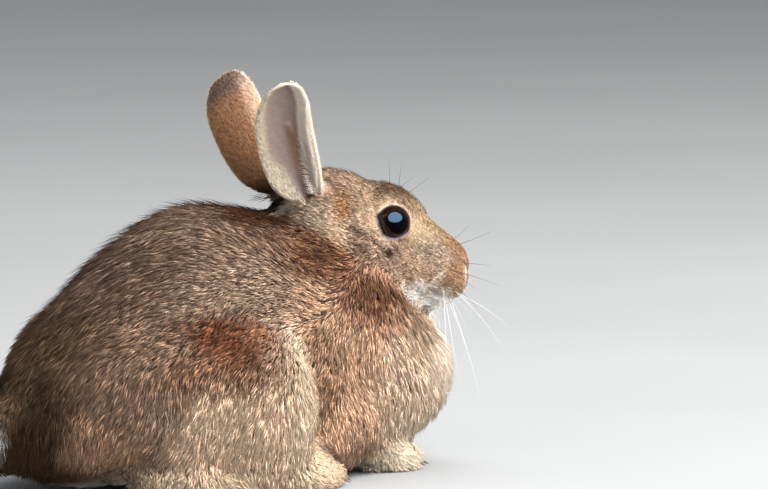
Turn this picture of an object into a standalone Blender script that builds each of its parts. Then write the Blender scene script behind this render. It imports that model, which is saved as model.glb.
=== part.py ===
"""Eastern cottontail rabbit, full grown, crouched on its feet with its head up.

Life size, +Z up. The rabbit faces +X, its left side is +Y and its soles stand on z = 0.
The whole animal is modelled as one form, out to the tips of its coat, and then parted by
thin cuts into head, neck, trunk, tail, legs and feet. The ears and eyes are made apart.
The head has a frame of its own, between the eyes: X to the nose, Y left, Z up. It is
turned a little to the rabbit's right, and the nose hangs.

Sizes below are in millimetres and angles in degrees, unless a name says otherwise.
"""
import math

import bmesh
import bpy
import numpy as np
from mathutils import Matrix, Vector

MM = 0.001
GAP = 0.3                      # what every cut leaves between two pieces
SIDES = (("left", 1.0), ("right", -1.0))

# How finely the blended forms are made
BODY_VOXEL = 2.0
BODY_FACES = 3350              # triangles of the whole body before it is parted
BODY_SMOOTHING = 6
FINE_REACH = 46.0              # round the eyes' middle the triangles are smaller
FINE_WEIGHT = 0.9
FINE_PULL = 0.02
EAR_VOXEL = 0.65
EAR_FACES = 540
EAR_SMOOTHING = 3
TRUNK_RINGS = 40
RING_POINTS = 40
CUT_POINTS = 16                # corners round a rounded cut
EYE_POINTS = 16
SHARP_ANGLE = 50.0

SOLE_CUT = 1.6                 # pared off below, to give flat soles

# The trunk's outline: x, top, underside, half width
TRUNK = (
    (-109.0, 32.0, 23.0, 8.0),
    (-105.0, 44.0, 13.0, 24.0),
    (-93.0, 63.5, 7.5, 40.0),
    (-73.0, 84.5, 6.0, 50.0),
    (-49.0, 105.0, 5.5, 54.0),
    (-25.0, 117.0, 6.0, 50.0),
    (2.0, 115.5, 6.5, 43.0),
    (28.0, 104.0, 7.5, 38.0),
    (52.0, 92.0, 10.0, 35.0),
    (74.0, 79.0, 15.0, 31.0),
    (89.0, 66.0, 26.0, 21.0),
    (97.0, 53.0, 42.0, 6.0),
)
TRUNK_WIDEST = 0.42            # height of the widest line, as a share of the section
FLANK_ABOVE = 0.95             # how square the section is above and below that line
FLANK_BELOW = 0.7

# Balls of flesh: middle, radii, tilt about Y
BODY_BALLS = {
    "withers": ((0, 0, 86), (34, 34, 30), 0),
    "rump": ((-70, 0, 36), (32, 42, 32), 0),
    "scut": ((-107, 0, 26), (15, 14, 17), 25),
}
# Balls that come in pairs, left and right
LEG_BALLS = {
    "haunch": ((-42, 34, 42), (50, 23, 38), 8),
    "knee": ((-13, 43, 36), (27, 17, 34), -6),
    "toes": ((15, 43, 6.5), (13, 10, 8.5), 0),
    "shoulder": ((40, 22, 58), (30, 17, 36), 20),
    "elbow": ((30, 24, 26), (24, 14, 20), 0),
    "fingers": ((66, 15.5, 7.5), (14, 8.2, 8.5), 4),
}
# Tapered lengths: start, its radius, end, its radius
LEG_LENGTHS = {
    "hock": ((-42, 41, 12), 12, (-58, 39, 11), 10.5),
    "instep": ((-56, 40, 8), 9.5, (8, 43, 7), 8.5),
    "forearm": ((38, 22, 22), 13, (60, 17, 14), 9),
}
BREAST = ((65, 0, 48), 27, (58, -2, 66), 22)
NECK_FOOT = (20, 0, 78)
NECK_FOOT_RADIUS = 33
NECK_TOP = (-24, 0, -10)       # in the head's frame
NECK_TOP_RADIUS = 19

# The head's frame in the body, and its forms in that frame
HEAD_PLACE = (63.3, -7.0, 108.6)
HEAD_TURN = -12.0
HEAD_DROP = 25.0
HEAD_BALLS = {
    "cranium": ((-17, 0, -4.5), (25, 17, 17)),
    "forehead": ((1.5, 0, -1), (21.5, 13.5, 16.6)),
    "nose": ((36, 0, -6), (9, 7.5, 8)),
    "chin": ((33, 0, -18), (12, 7, 7)),
    "throat": ((-2, 0, -17), (26, 14, 11)),
}
FACE_BALLS = {
    "whisker_pad": ((34.5, 5, -12), (11.5, 7.2, 9)),
    "cheek": ((-8, 9.5, -11), (21, 13, 14.5)),
    "jaw": ((-25, 8, -12), (14, 12.5, 13.5)),
    "brow": ((-1, 10.5, 3), (12, 7.5, 9.5)),
}
MUZZLE_BRIDGE = ((8, 0, -0.5), 12, (34, 0, -4.5), 9.5)
MANDIBLE = ((-6, 7, -15), 9.5, (30, 3, -15.5), 7)
EYE_RADIUS = 7.8
EYE_PLACE = (1.2, 13.4, 0.3)

# The ears
EAR_LENGTH = 57.5              # from the notch to the tip
EAR_WIDTH = 24.5
EAR_WALL = 1.7
EAR_CUP = 8.5                  # how deep the ear is cupped
EAR_CURL = 3.0                 # how far the tip bends towards the opening
EAR_FOLD = 4.5                 # how far the front wall folds forward at the foot
EAR_LEAN = -5.2                # the leaf's middle line behind the notch
EAR_BELLY = 1.6                # how far that line bows to the rear
EAR_START = -0.08              # the leaf's rounded foot, below the notch
EAR_SPREAD = 0.6               # share of the length over which it widens
EAR_ROUND = 0.72               # where it starts to close to a round tip
EAR_DEEP_AT = 0.3              # where the cup is deepest, towards the front rim
EAR_BOWL = 2.2                 # how round the cup is across
EAR_TAPER = 0.5                # how much of the cup's depth is lost at the tip
EAR_ROWS = 30
EAR_COLUMNS = 16
EAR_STALK = ((-2, -7, 5), 3.6, (1, -4, -13), 8.5)
# Left and right: the notch in the head's frame, lean back, lean out, turn forward
EAR_STANCE = (
    ((-37.5, 14.5, -4.0), 27.5, 19.0, 14.0),
    ((-32.5, 15.0, -4.8), 22.0, 14.0, -4.0),
)

# Where the body is parted
FOOT_CUT = ((-66, 40, 3), 16, (17, 43, 3), 14)
PAW_CUT = ((56, 17, 2), 14, (76, 15.5, 2), 13)
THIGH_CUT = ((-33, 50, 34), (58, 27, 50), 0)
ARM_CUT = ((42, 38, 42), (29, 22, 46), 12)
TAIL_CUT = ((-110, 0, 26), (19, 18, 20), 0)
HEAD_CUT = ((-22, 0, 2), 29.5, (38, 0, -7), 20.5)
NECK_PLANE_NORMAL = (0.57, 0.0, 0.82)
NECK_PLANE_POINT = (20, 0, 104)
PLANE_BLOCK = 400.0

# Colour and roughness of each kind of piece
LOOKS = {
    "fur": ((0.33, 0.22, 0.14, 1.0), 0.9),
    "tail": ((0.85, 0.82, 0.78, 1.0), 0.9),
    "ear": ((0.46, 0.35, 0.28, 1.0), 0.8),
    "eye": ((0.02, 0.012, 0.01, 1.0), 0.05),
}


def clear_scene():
    for item in list(bpy.data.objects):
        bpy.data.objects.remove(item, do_unlink=True)


def drop(*items):
    for item in items:
        bpy.data.objects.remove(item, do_unlink=True)


def material(name, look):
    colour, roughness = look
    mat = bpy.data.materials.new(name)
    mat.use_nodes = True
    shader = mat.node_tree.nodes["Principled BSDF"]
    shader.inputs["Base Color"].default_value = colour
    shader.inputs["Roughness"].default_value = roughness
    shader.inputs["Metallic"].default_value = 0.0
    return mat


def mirrored(place, side):
    return (place[0], place[1] * side, place[2])


def head_frame():
    place = Matrix.Translation(Vector(HEAD_PLACE) * MM)
    turn = Matrix.Rotation(math.radians(HEAD_TURN), 4, "Z")
    hang = Matrix.Rotation(math.radians(HEAD_DROP), 4, "Y")
    return place @ turn @ hang


def from_bmesh(name, bm, frame=None):
    mesh = bpy.data.meshes.new(name)
    bm.to_mesh(mesh)
    bm.free()
    if frame is not None:
        mesh.transform(frame)
    item = bpy.data.objects.new(name, mesh)
    bpy.context.scene.collection.objects.link(item)
    return item


def ball(name, middle, radii, tilt=0.0, frame=None, points=32):
    """A sphere stretched to three radii and tilted about Y."""
    bm = bmesh.new()
    bmesh.ops.create_uvsphere(bm, u_segments=points, v_segments=points // 2, radius=1.0)
    stretch = Matrix.Diagonal((*(radius * MM for radius in radii), 1.0))
    turn = Matrix.Rotation(math.radians(tilt), 4, "Y")
    bm.transform(Matrix.Translation(Vector(middle) * MM) @ turn @ stretch)
    return from_bmesh(name, bm, frame)


def length(name, start, start_radius, end, end_radius, frame=None, points=24):
    """A tapered length of flesh with round ends: a sphere whose halves are drawn apart."""
    start = Vector(start) * MM
    reach = Vector(end) * MM - start
    bm = bmesh.new()
    bmesh.ops.create_uvsphere(bm, u_segments=points, v_segments=points // 4 * 2, radius=1.0)
    for vert in bm.verts:
        ahead = vert.co.z > 0.01
        vert.co *= (end_radius if ahead else start_radius) * MM
        if ahead:
            vert.co.z += reach.length
    bm.transform(Matrix.Translation(start) @ reach.to_track_quat("Z", "Y").to_matrix().to_4x4())
    return from_bmesh(name, bm, frame)


def paired_length(name, sizes, side, frame=None, points=24):
    start, start_radius, end, end_radius = sizes
    start, end = mirrored(start, side), mirrored(end, side)
    return length(name, start, start_radius, end, end_radius, frame, points)


def smooth_rows(rows, count):
    """Rows of numbers read off a smooth curve through the given ones."""
    rows = np.array(rows, dtype=float)
    padded = np.vstack([2 * rows[0] - rows[1], rows, 2 * rows[-1] - rows[-2]])
    result = []
    for t in np.linspace(0.0, len(rows) - 1.0, count):
        k = min(int(t), len(rows) - 2)
        f = t - k
        a, b, c, d = padded[k:k + 4]
        bend = 2 * a - 5 * b + 4 * c - d
        twist = 3 * b - a - 3 * c + d
        result.append(0.5 * (2 * b + (c - a) * f + bend * f ** 2 + twist * f ** 3))
    return result


def trunk_form():
    """A loft of egg-shaped sections along the back: narrow above, broad and flat below."""
    bm = bmesh.new()
    rings = []
    for x, top, under, half in smooth_rows(TRUNK, TRUNK_RINGS):
        middle = under + TRUNK_WIDEST * (top - under)
        ring = []
        for i in range(RING_POINTS):
            turn = 2.0 * math.pi * i / RING_POINTS
            side, rise = math.cos(turn), math.sin(turn)
            square = FLANK_ABOVE if rise > 0.0 else FLANK_BELOW
            reach = top - middle if rise > 0.0 else middle - under
            y = half * math.copysign(abs(side) ** square, side)
            ring.append(bm.verts.new(Vector((x, y, middle + reach * rise)) * MM))
        rings.append(ring)
    for before, after in zip(rings, rings[1:]):
        for i in range(RING_POINTS):
            j = (i + 1) % RING_POINTS
            bm.faces.new((before[i], after[i], after[j], before[j]))
    bm.faces.new(rings[0])
    bm.faces.new(list(reversed(rings[-1])))
    bmesh.ops.recalc_face_normals(bm, faces=bm.faces)
    return from_bmesh("trunk_form", bm)


def body_forms(frame):
    neck_top = frame @ (Vector(NECK_TOP) * MM) / MM
    forms = [ball(name, *sizes) for name, sizes in BODY_BALLS.items()]
    forms.append(trunk_form())
    forms.append(length("breast", *BREAST))
    forms.append(length("neck_form", NECK_FOOT, NECK_FOOT_RADIUS, neck_top, NECK_TOP_RADIUS))
    for _, side in SIDES:
        for name, (middle, radii, tilt) in LEG_BALLS.items():
            forms.append(ball(name, mirrored(middle, side), radii, tilt))
        for name, sizes in LEG_LENGTHS.items():
            forms.append(paired_length(name, sizes, side))
    return forms


def head_forms(frame):
    forms = [length("muzzle_bridge", *MUZZLE_BRIDGE, frame)]
    for name, (middle, radii) in HEAD_BALLS.items():
        forms.append(ball(name, middle, radii, frame=frame))
    for _, side in SIDES:
        forms.append(paired_length("mandible", MANDIBLE, side, frame))
        for name, (middle, radii) in FACE_BALLS.items():
            forms.append(ball(name, mirrored(middle, side), radii, frame=frame))
    return forms


def apply_modifiers(item):
    depsgraph = bpy.context.evaluated_depsgraph_get()
    mesh = bpy.data.meshes.new_from_object(item.evaluated_get(depsgraph))
    item.modifiers.clear()
    item.data = mesh


def join(name, items):
    bm = bmesh.new()
    for item in items:
        bm.from_mesh(item.data)
    drop(*items)
    return from_bmesh(name, bm)


def blend(item, voxel, smoothing, faces, fine_at=None):
    """One closed surface round overlapping forms, its creases rounded, in few triangles.

    Round the point fine_at, where given, the triangles stay smaller than elsewhere.
    """
    remesh = item.modifiers.new("Blend", "REMESH")
    remesh.mode = "VOXEL"
    remesh.voxel_size = voxel * MM
    smooth = item.modifiers.new("Round", "SMOOTH")
    smooth.factor = 0.5
    smooth.iterations = smoothing
    apply_modifiers(item)
    thin = item.modifiers.new("Thin", "DECIMATE")
    thin.ratio = faces / (2 * len(item.data.polygons))
    if fine_at is not None:
        group = item.vertex_groups.new(name="coarse")
        for vert in item.data.vertices:
            near = (vert.co - fine_at).length < FINE_REACH * MM
            group.add([vert.index], FINE_WEIGHT if near else 1.0, "REPLACE")
        thin.vertex_group = group.name
        thin.vertex_group_factor = FINE_PULL
    apply_modifiers(item)


def cut(item, cutter, operation="DIFFERENCE"):
    boolean = item.modifiers.new("Cut", "BOOLEAN")
    boolean.operation = operation
    boolean.solver = "EXACT"
    boolean.object = cutter
    apply_modifiers(item)


def copy_of(item, name):
    twin = bpy.data.objects.new(name, item.data.copy())
    bpy.context.scene.collection.objects.link(twin)
    return twin


def swollen(item, name):
    """A copy pushed out along its normals by the gap that a cut leaves."""
    twin = copy_of(item, name)
    push = twin.modifiers.new("Push", "DISPLACE")
    push.strength = GAP * MM
    push.mid_level = 0.0
    apply_modifiers(twin)
    return twin


def block_behind(normal, point):
    """A block that fills the space behind a plane."""
    bm = bmesh.new()
    bmesh.ops.create_cube(bm, size=PLANE_BLOCK * MM)
    below = Matrix.Translation((0.0, 0.0, -0.5 * PLANE_BLOCK * MM))
    aim = Vector((0.0, 0.0, 1.0)).rotation_difference(normal).to_matrix().to_4x4()
    bm.transform(Matrix.Translation(point) @ aim @ below)
    return from_bmesh("block", bm)


def part_by_plane(item, name, normal, point):
    """Part what lies beyond a plane, with the gap between the two pieces."""
    normal = Vector(normal).normalized()
    point = Vector(point) * MM
    half_gap = 0.5 * GAP * MM * normal
    piece = copy_of(item, name)
    behind = block_behind(normal, point + half_gap)
    ahead = block_behind(-normal, point - half_gap)
    cut(piece, behind)
    cut(item, ahead)
    drop(behind, ahead)
    return piece


def part_by_shape(item, name, shape):
    """Part what lies inside a shape, with the gap round it."""
    piece = copy_of(item, name)
    wider = swollen(shape, "wider")
    cut(piece, shape, "INTERSECT")
    cut(item, wider)
    drop(shape, wider)
    return piece


def part_body(body, frame):
    """Divide the blended body where a person would name its parts."""
    pieces = {}
    for name, side in SIDES:
        lengths = {"hind_foot_": FOOT_CUT, "forepaw_": PAW_CUT}
        for kind, sizes in lengths.items():
            shape = paired_length("shape", sizes, side, points=CUT_POINTS)
            pieces[kind + name] = part_by_shape(body, kind + name, shape)
        balls = {"thigh_": THIGH_CUT, "foreleg_": ARM_CUT}
        for kind, (middle, radii, tilt) in balls.items():
            shape = ball("shape", mirrored(middle, side), radii, tilt, points=CUT_POINTS)
            pieces[kind + name] = part_by_shape(body, kind + name, shape)
    pieces["tail"] = part_by_shape(body, "tail", ball("shape", *TAIL_CUT, points=CUT_POINTS))
    skull = length("shape", *HEAD_CUT, frame, points=CUT_POINTS)
    pieces["head"] = part_by_shape(body, "head", skull)
    pieces["neck"] = part_by_plane(body, "neck", NECK_PLANE_NORMAL, NECK_PLANE_POINT)
    pieces["trunk"] = body
    return pieces


def keep_largest(item):
    """Drop the crumbs that a grazing cut leaves beside a piece."""
    bm = bmesh.new()
    bm.from_mesh(item.data)
    left = set(bm.verts)
    islands = []
    while left:
        edge_of = [left.pop()]
        island = list(edge_of)
        while edge_of:
            near = {link.other_vert(vert) for vert in edge_of for link in vert.link_edges}
            edge_of = list(near & left)
            left -= near
            island += edge_of
        islands.append(island)
    islands.sort(key=len)
    for island in islands[:-1]:
        bmesh.ops.delete(bm, geom=island, context="VERTS")
    bm.to_mesh(item.data)
    bm.free()


def set_eyes(pieces, frame):
    for name, side in SIDES:
        where = mirrored(EYE_PLACE, side)
        radii = (EYE_RADIUS,) * 3
        eye = ball("eye_" + name, where, radii, frame=frame, points=EYE_POINTS)
        socket = swollen(eye, "socket")
        cut(pieces["head"], socket)
        drop(socket)
        pieces["eye_" + name] = eye


def ear_half_width(u):
    """Half the width of the ear's leaf, at a share u of the way from its notch to its tip."""
    spread = min(1.0, (u - EAR_START) / EAR_SPREAD)
    close = max(0.0, (u - EAR_ROUND) / (1.0 - EAR_ROUND))
    fullness = (1.0 - (1.0 - spread) ** 2) * (1.0 - close ** 2)
    return 0.5 * EAR_WIDTH * math.sqrt(max(0.0, fullness))


def ear_point(u, v):
    """A point of the cupped leaf: u from notch to tip, v from rear rim (-1) to front (1).

    In the ear's frame X runs from rear to front, Y out of the opening and Z to the tip.
    The cup is deepest towards the front, where its wall stands steep and folds forward.
    """
    half = ear_half_width(u)
    middle = EAR_LEAN * (1.0 - u * u) - EAR_BELLY * math.sin(math.pi * u)
    off_deep = v - EAR_DEEP_AT
    off_deep /= 1.0 - EAR_DEEP_AT if off_deep > 0.0 else 1.0 + EAR_DEEP_AT
    hollow = 1.0 - abs(off_deep) ** EAR_BOWL
    depth = EAR_CUP * (1.0 - EAR_TAPER * u) * half / (0.5 * EAR_WIDTH)
    x = middle + half * v + EAR_FOLD * (1.0 - u) ** 2 * hollow
    y = EAR_CURL * u * u - depth * hollow
    return Vector((x, y, EAR_LENGTH * u)) * MM


def ear_shell():
    bm = bmesh.new()
    grid = []
    for row in range(EAR_ROWS + 1):
        u = EAR_START + (1.0 - EAR_START) * row / EAR_ROWS
        across = [2.0 * column / EAR_COLUMNS - 1.0 for column in range(EAR_COLUMNS + 1)]
        grid.append([bm.verts.new(ear_point(u, v)) for v in across])
    for before, after in zip(grid, grid[1:]):
        for i in range(EAR_COLUMNS):
            bm.faces.new((before[i], before[i + 1], after[i + 1], after[i]))
    bmesh.ops.remove_doubles(bm, verts=bm.verts, dist=0.05 * MM)
    shell = from_bmesh("shell", bm)
    wall = shell.modifiers.new("Wall", "SOLIDIFY")
    wall.thickness = EAR_WALL * MM
    wall.offset = 0.0
    apply_modifiers(shell)
    return shell


def ear(name, side, frame, notch, lean_back, lean_out, turn_forward):
    """A long cupped leaf on a short stalk, set on its side of the head."""
    item = join(name, [ear_shell(), length("stalk", *EAR_STALK)])
    blend(item, EAR_VOXEL, EAR_SMOOTHING, EAR_FACES)
    flip = Matrix.Diagonal((1.0, side, 1.0, 1.0))
    face = Matrix.Rotation(math.radians(-turn_forward * side), 4, "Z")
    out = Matrix.Rotation(math.radians(-lean_out * side), 4, "X")
    back = Matrix.Rotation(math.radians(-lean_back), 4, "Y")
    level = Matrix.Rotation(math.radians(-HEAD_DROP), 4, "Y")
    place = Matrix.Translation(Vector(mirrored(notch, side)) * MM)
    item.data.transform(frame @ place @ level @ back @ out @ face @ flip)
    if side < 0.0:
        item.data.flip_normals()
    return item


def set_ears(pieces, frame):
    hide = swollen(pieces["head"], "hide")
    nape = swollen(pieces["neck"], "nape")
    for (name, side), stance in zip(SIDES, EAR_STANCE):
        item = ear("ear_" + name, side, frame, *stance)
        cut(item, hide)
        cut(item, nape)
        pieces["ear_" + name] = item
    drop(hide, nape)


def centre_on_floor(pieces):
    """Move all so that the middle of the whole outline stands on the origin."""
    points = np.array([vert.co[:] for item in pieces.values() for vert in item.data.vertices])
    low, high = points.min(axis=0), points.max(axis=0)
    middle = 0.5 * (low + high)
    shift = Matrix.Translation((-middle[0], -middle[1], -low[2]))
    for item in pieces.values():
        item.data.transform(shift)


def finish_piece(name, item, group, root):
    """Give a piece its name, its own place, its material and smooth faces."""
    item.name = name
    mesh = item.data
    mesh.name = name
    middle = sum((vert.co for vert in mesh.vertices), Vector()) / len(mesh.vertices)
    mesh.transform(Matrix.Translation(-middle))
    item.location = middle
    item.parent = root
    kind = name.split("_")[0]
    mesh.materials.clear()
    mesh.materials.append(material(name, LOOKS.get(kind, LOOKS["fur"])))
    mesh.shade_smooth()
    mesh.set_sharp_from_angle(angle=math.radians(SHARP_ANGLE))
    bpy.context.scene.collection.objects.unlink(item)
    group.objects.link(item)


def main():
    clear_scene()
    group = bpy.data.collections.new("cottontail_rabbit")
    bpy.context.scene.collection.children.link(group)
    root = bpy.data.objects.new("cottontail_rabbit", None)
    group.objects.link(root)

    frame = head_frame()
    body = join("body", body_forms(frame) + head_forms(frame))
    blend(body, BODY_VOXEL, BODY_SMOOTHING, BODY_FACES, frame.translation)
    below = block_behind(Vector((0.0, 0.0, 1.0)), Vector((0.0, 0.0, SOLE_CUT * MM)))
    cut(body, below)
    drop(below)

    pieces = part_body(body, frame)
    set_eyes(pieces, frame)
    set_ears(pieces, frame)
    for item in pieces.values():
        keep_largest(item)
    centre_on_floor(pieces)
    for name, item in pieces.items():
        finish_piece(name, item, group, root)


main()
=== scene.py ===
"""Looks of the eastern cottontail: skin, coat, eyes, whiskers and claws.

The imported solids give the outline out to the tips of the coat. One skin is made from
the nodes of flesh and lies inside them by the coat's depth. The coat is closed tufts that
grow from the skin and lie along it, and it carries the same markings as the skin.

Lengths are in millimetres and angles in degrees. The body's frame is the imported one: the
rabbit faces +X and its left side is +Y. The head's frame lies between the eyes: X to the
nose, Y left, Z up. An ear's frame lies at its notch: X from rear rim to front rim, Y out
of its opening, Z to its tip. Rows of places are for the left half and serve both.
"""
import math

import bmesh
import bpy
import numpy as np
from mathutils import Matrix, Vector


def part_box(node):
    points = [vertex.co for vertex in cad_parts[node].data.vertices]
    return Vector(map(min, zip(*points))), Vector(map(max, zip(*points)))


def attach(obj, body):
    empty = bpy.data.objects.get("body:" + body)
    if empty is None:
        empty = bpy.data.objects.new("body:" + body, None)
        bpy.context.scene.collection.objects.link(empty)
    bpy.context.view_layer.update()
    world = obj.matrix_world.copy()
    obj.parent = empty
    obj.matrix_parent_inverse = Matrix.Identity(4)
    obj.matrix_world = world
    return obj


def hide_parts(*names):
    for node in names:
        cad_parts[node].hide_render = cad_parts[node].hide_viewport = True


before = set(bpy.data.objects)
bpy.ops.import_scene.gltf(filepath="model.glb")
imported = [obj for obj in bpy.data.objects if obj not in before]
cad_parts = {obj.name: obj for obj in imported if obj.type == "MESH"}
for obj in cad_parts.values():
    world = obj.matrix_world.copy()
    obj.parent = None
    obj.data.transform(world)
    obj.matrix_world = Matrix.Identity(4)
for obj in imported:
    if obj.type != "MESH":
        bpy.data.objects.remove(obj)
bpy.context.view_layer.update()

MM = 0.001
random = np.random.default_rng(1931)
SIDES = (("left", 1.0), ("right", -1.0))

# The head and the ears, as they are placed in the solids
HEAD_DROP = 25.0
EYE_AHEAD, EYE_UP = 1.2, 0.3
EYE_RADIUS = 7.7
SKULL = ((-22.0, 0.0, 2.0), 29.5, (38.0, 0.0, -7.0), 20.5)      # place, radius, twice
EAR_LENGTH = 57.5
EAR_WIDTH = 24.5
EAR_STANCE = {                 # its notch, and how it leans back, out and forward
    "left": ((-37.5, 14.5, -4.0), 27.5, 19.0, 14.0),
    "right": ((-32.5, -15.0, -4.8), 22.0, 14.0, -4.0),
}

# The skin
SKIN_VOXEL = 1.65
EAR_VOXEL = 0.66
SKIN_FLOOR = 0.3               # the skin's lowest level
SOCKET = EYE_RADIUS + 0.9      # the skin isn't moved this near the middle of an eye
SKIN_GROWTH = 0.45             # closes the thin cuts between the solids
SKIN_ROUNDING = 18             # passes that round the body's facets
FACE_ROUNDING = 9
NOSE_NARROWING, NOSE_LENGTHENING = 0.14, 0.4

# The coat's lie. Place, comb direction, hair length, lift, density, reach
BODY_LIE = {
    "nape": ((23, 17, 107), (-1, 0, 0.15), 9, 32, 1.0, 16),
    "behind_ears": ((30, 6, 112), (-1, 0, 0.1), 7, 30, 1.0, 12),
    "withers": ((-5, 8, 113), (-1, 0, 0.0), 11, 28, 1.0, 20),
    "back": ((-36, 8, 103), (-1, 0, -0.3), 12, 26, 1.0, 20),
    "loin": ((-60, 0, 86), (-0.8, 0, -0.6), 12, 26, 1.0, 20),
    "rump": ((-80, 8, 66), (-0.5, 0, -0.85), 12, 26, 1.0, 20),
    "rump_low": ((-93, 22, 34), (-0.2, 0.1, -1), 12, 28, 1.0, 18),
    "seat": ((-84, 28, 14), (-0.4, 0, -0.9), 9, 28, 0.8, 18),
    "flank_up": ((-3, 37, 92), (-1, 0, 0.12), 11, 26, 1.0, 20),
    "flank_mid": ((-30, 44, 82), (-1, 0, -0.1), 11, 26, 1.0, 20),
    "flank_fore": ((21, 35, 82), (-1, 0.1, 0.3), 10, 26, 1.0, 18),
    "flank_rear": ((-58, 42, 74), (-0.75, 0, -0.6), 12, 26, 1.0, 18),
    "haunch_rear": ((-72, 42, 56), (-0.45, 0, -0.9), 12, 26, 1.0, 18),
    "neck_side": ((38, 27, 90), (-0.9, 0, 0.4), 9, 30, 1.0, 13),
    "neck_low": ((58, 32, 78), (-0.3, 0.1, -0.95), 9, 32, 1.0, 14),
    "jaw_fold": ((36, 22, 99), (-1, 0, 0.35), 7, 32, 1.0, 12),
    "parting": ((29, 38, 55), (-0.65, 0.1, -0.75), 9, 32, 1.0, 14),
    "shoulder": ((47, 38, 60), (-0.15, 0, -1), 10, 26, 1.0, 18),
    "shoulder_low": ((49, 36, 34), (-0.1, 0, -1), 10, 26, 1.0, 18),
    "arm_front": ((68, 36, 59), (0.2, 0, -1), 10, 26, 1.0, 16),
    "chest_side": ((85, 30, 44), (0.2, 0, -1), 11, 28, 1.0, 16),
    "chest_front": ((98, 18, 55), (0.3, 0, -1), 12, 32, 1.0, 16),
    "chest_mid": ((106, 0, 45), (0.2, 0, -1), 12, 32, 1.0, 16),
    "chest_low": ((96, 10, 22), (-0.1, 0, -1), 11, 30, 1.0, 16),
    "breast_under": ((70, 0, 12), (-0.9, 0, -0.4), 9, 28, 0.6, 18),
    "belly": ((0, 0, 6), (-1, 0, 0), 9, 22, 0.4, 26),
    "belly_rear": ((-60, 0, 6), (-1, 0, 0), 9, 22, 0.4, 24),
    "thigh_top": ((-13, 47, 71), (-0.85, 0.1, -0.35), 10, 26, 1.0, 15),
    "thigh_fore": ((16, 46, 60), (-0.4, 0.2, -0.9), 9, 26, 1.0, 13),
    "thigh_edge": ((16, 53, 32), (0.0, 0, -1), 10, 26, 1.0, 14),
    "thigh_mid": ((-18, 57, 41), (-0.35, 0, -1), 11, 26, 1.0, 18),
    "thigh_low": ((-12, 56, 19), (-0.2, 0, -1), 9, 26, 1.0, 14),
    "thigh_rear": ((-55, 52, 40), (-0.4, 0, -0.95), 11, 26, 1.0, 18),
    "hock": ((-55, 44, 14), (-0.4, 0, -0.9), 6, 24, 1.0, 11),
    "instep": ((-15, 42, 14), (0.9, 0, -0.3), 5, 20, 1.0, 10),
    "sole": ((-20, 41, 0), (1, 0, 0), 3, 16, 0.5, 9),
    "toes": ((30, 43, 10), (1, 0, -0.3), 2.6, 18, 1.5, 10),
    "toe_ends": ((37, 42, 4), (0.9, 0, -0.6), 2.0, 18, 1.6, 7),
    "wrist": ((60, 18, 15), (0.5, 0, -0.9), 4.5, 22, 1.2, 10),
    "forepaw": ((76, 16, 12), (1, 0, -0.4), 2.6, 18, 1.6, 9),
    "fingers": ((88, 16, 5), (0.9, 0, -0.7), 2.0, 18, 1.7, 7),
    "tail_top": ((-104, 4, 40), (-0.9, 0.2, 0.1), 10, 30, 2.0, 9),
    "tail_back": ((-111, 4, 26), (-0.5, 0.3, -0.7), 9, 32, 2.6, 9),
    "tail_side": ((-100, 16, 25), (-0.8, 0.3, -0.4), 9, 32, 2.2, 9),
    "tail_foot": ((-104, 4, 12), (-0.6, 0.2, -0.7), 8, 30, 2.2, 9),
}
HEAD_LIE = {
    "nose_tip": ((43, 2, -1), (-0.8, 0.3, 0.6), 1.2, 20, 2.6, 5),
    "nose_side": ((38, 7, -5), (-0.9, 0.3, 0.2), 1.6, 22, 2.2, 6),
    "bridge": ((28, 3, 7), (-1, 0, 0.2), 2.4, 20, 1.3, 8),
    "bridge_rear": ((14, 4, 12), (-1, 0, 0.15), 3.0, 22, 1.2, 8),
    "forehead": ((2, 3, 16), (-1, 0, 0), 4.0, 24, 1.1, 8),
    "crown": ((-13, 4, 13), (-1, 0, 0), 4.5, 24, 1.1, 9),
    "poll": ((-29, 4, 9), (-1, 0, -0.3), 5.5, 24, 1.0, 9),
    "muzzle_side": ((24, 9, -8), (-1, 0.2, -0.2), 2.6, 22, 1.3, 7),
    "pad": ((34, 9, -12), (-0.9, 0.3, -0.4), 2.2, 22, 1.4, 6),
    "lip": ((41, 4, -17), (-0.7, 0.2, -0.7), 2.0, 16, 2.2, 5),
    "chin": ((36, 2, -24), (-0.8, 0, -0.5), 3.4, 13, 2.4, 7),
    "jaw": ((22, 7, -23), (-1, 0, -0.25), 4.2, 15, 2.0, 8),
    "throat": ((4, 3, -27), (-1, 0, -0.2), 6.5, 26, 1.0, 10),
    "cheek_fore": ((13, 13, -16), (-0.9, 0.1, -0.4), 3.4, 20, 1.2, 7),
    "under_eye": ((5, 19, -12), (-0.9, 0.1, -0.4), 3.2, 20, 1.2, 7),
    "cheek": ((-6, 19, -15), (-1, 0.1, -0.35), 4.4, 22, 1.1, 8),
    "cheek_rear": ((-19, 22, -15), (-1, 0.1, -0.15), 6.0, 24, 1.0, 8),
    "jaw_rear": ((-26, 20, -23), (-1, 0, 0.05), 6.5, 26, 1.0, 8),
    "temple": ((-20, 17, -1), (-1, 0.1, -0.25), 4.2, 20, 1.1, 8),
    "below_ear": ((-29, 19, -10), (-1, 0.1, -0.15), 5.0, 24, 1.0, 7),
    "brow": ((0, 12, 12), (-1, 0.1, 0.1), 3.0, 22, 1.2, 6),
    "eye_fore": ((12, 13, 1), (-0.7, 0.3, 0.6), 1.6, 22, 1.5, 5),
    "eye_rear": ((-9, 19, -1), (-1, 0.1, 0), 2.4, 23, 1.4, 5),
    "eye_under": ((4, 20, -8), (-0.9, 0.1, -0.4), 1.8, 22, 1.5, 5),
    "eye_over": ((-2, 17, 9), (-1, 0, 0.3), 2.0, 22, 1.5, 5),
}
LIE_SOFTNESS = 0.12            # how gently one row of the lie passes into the next


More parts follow.
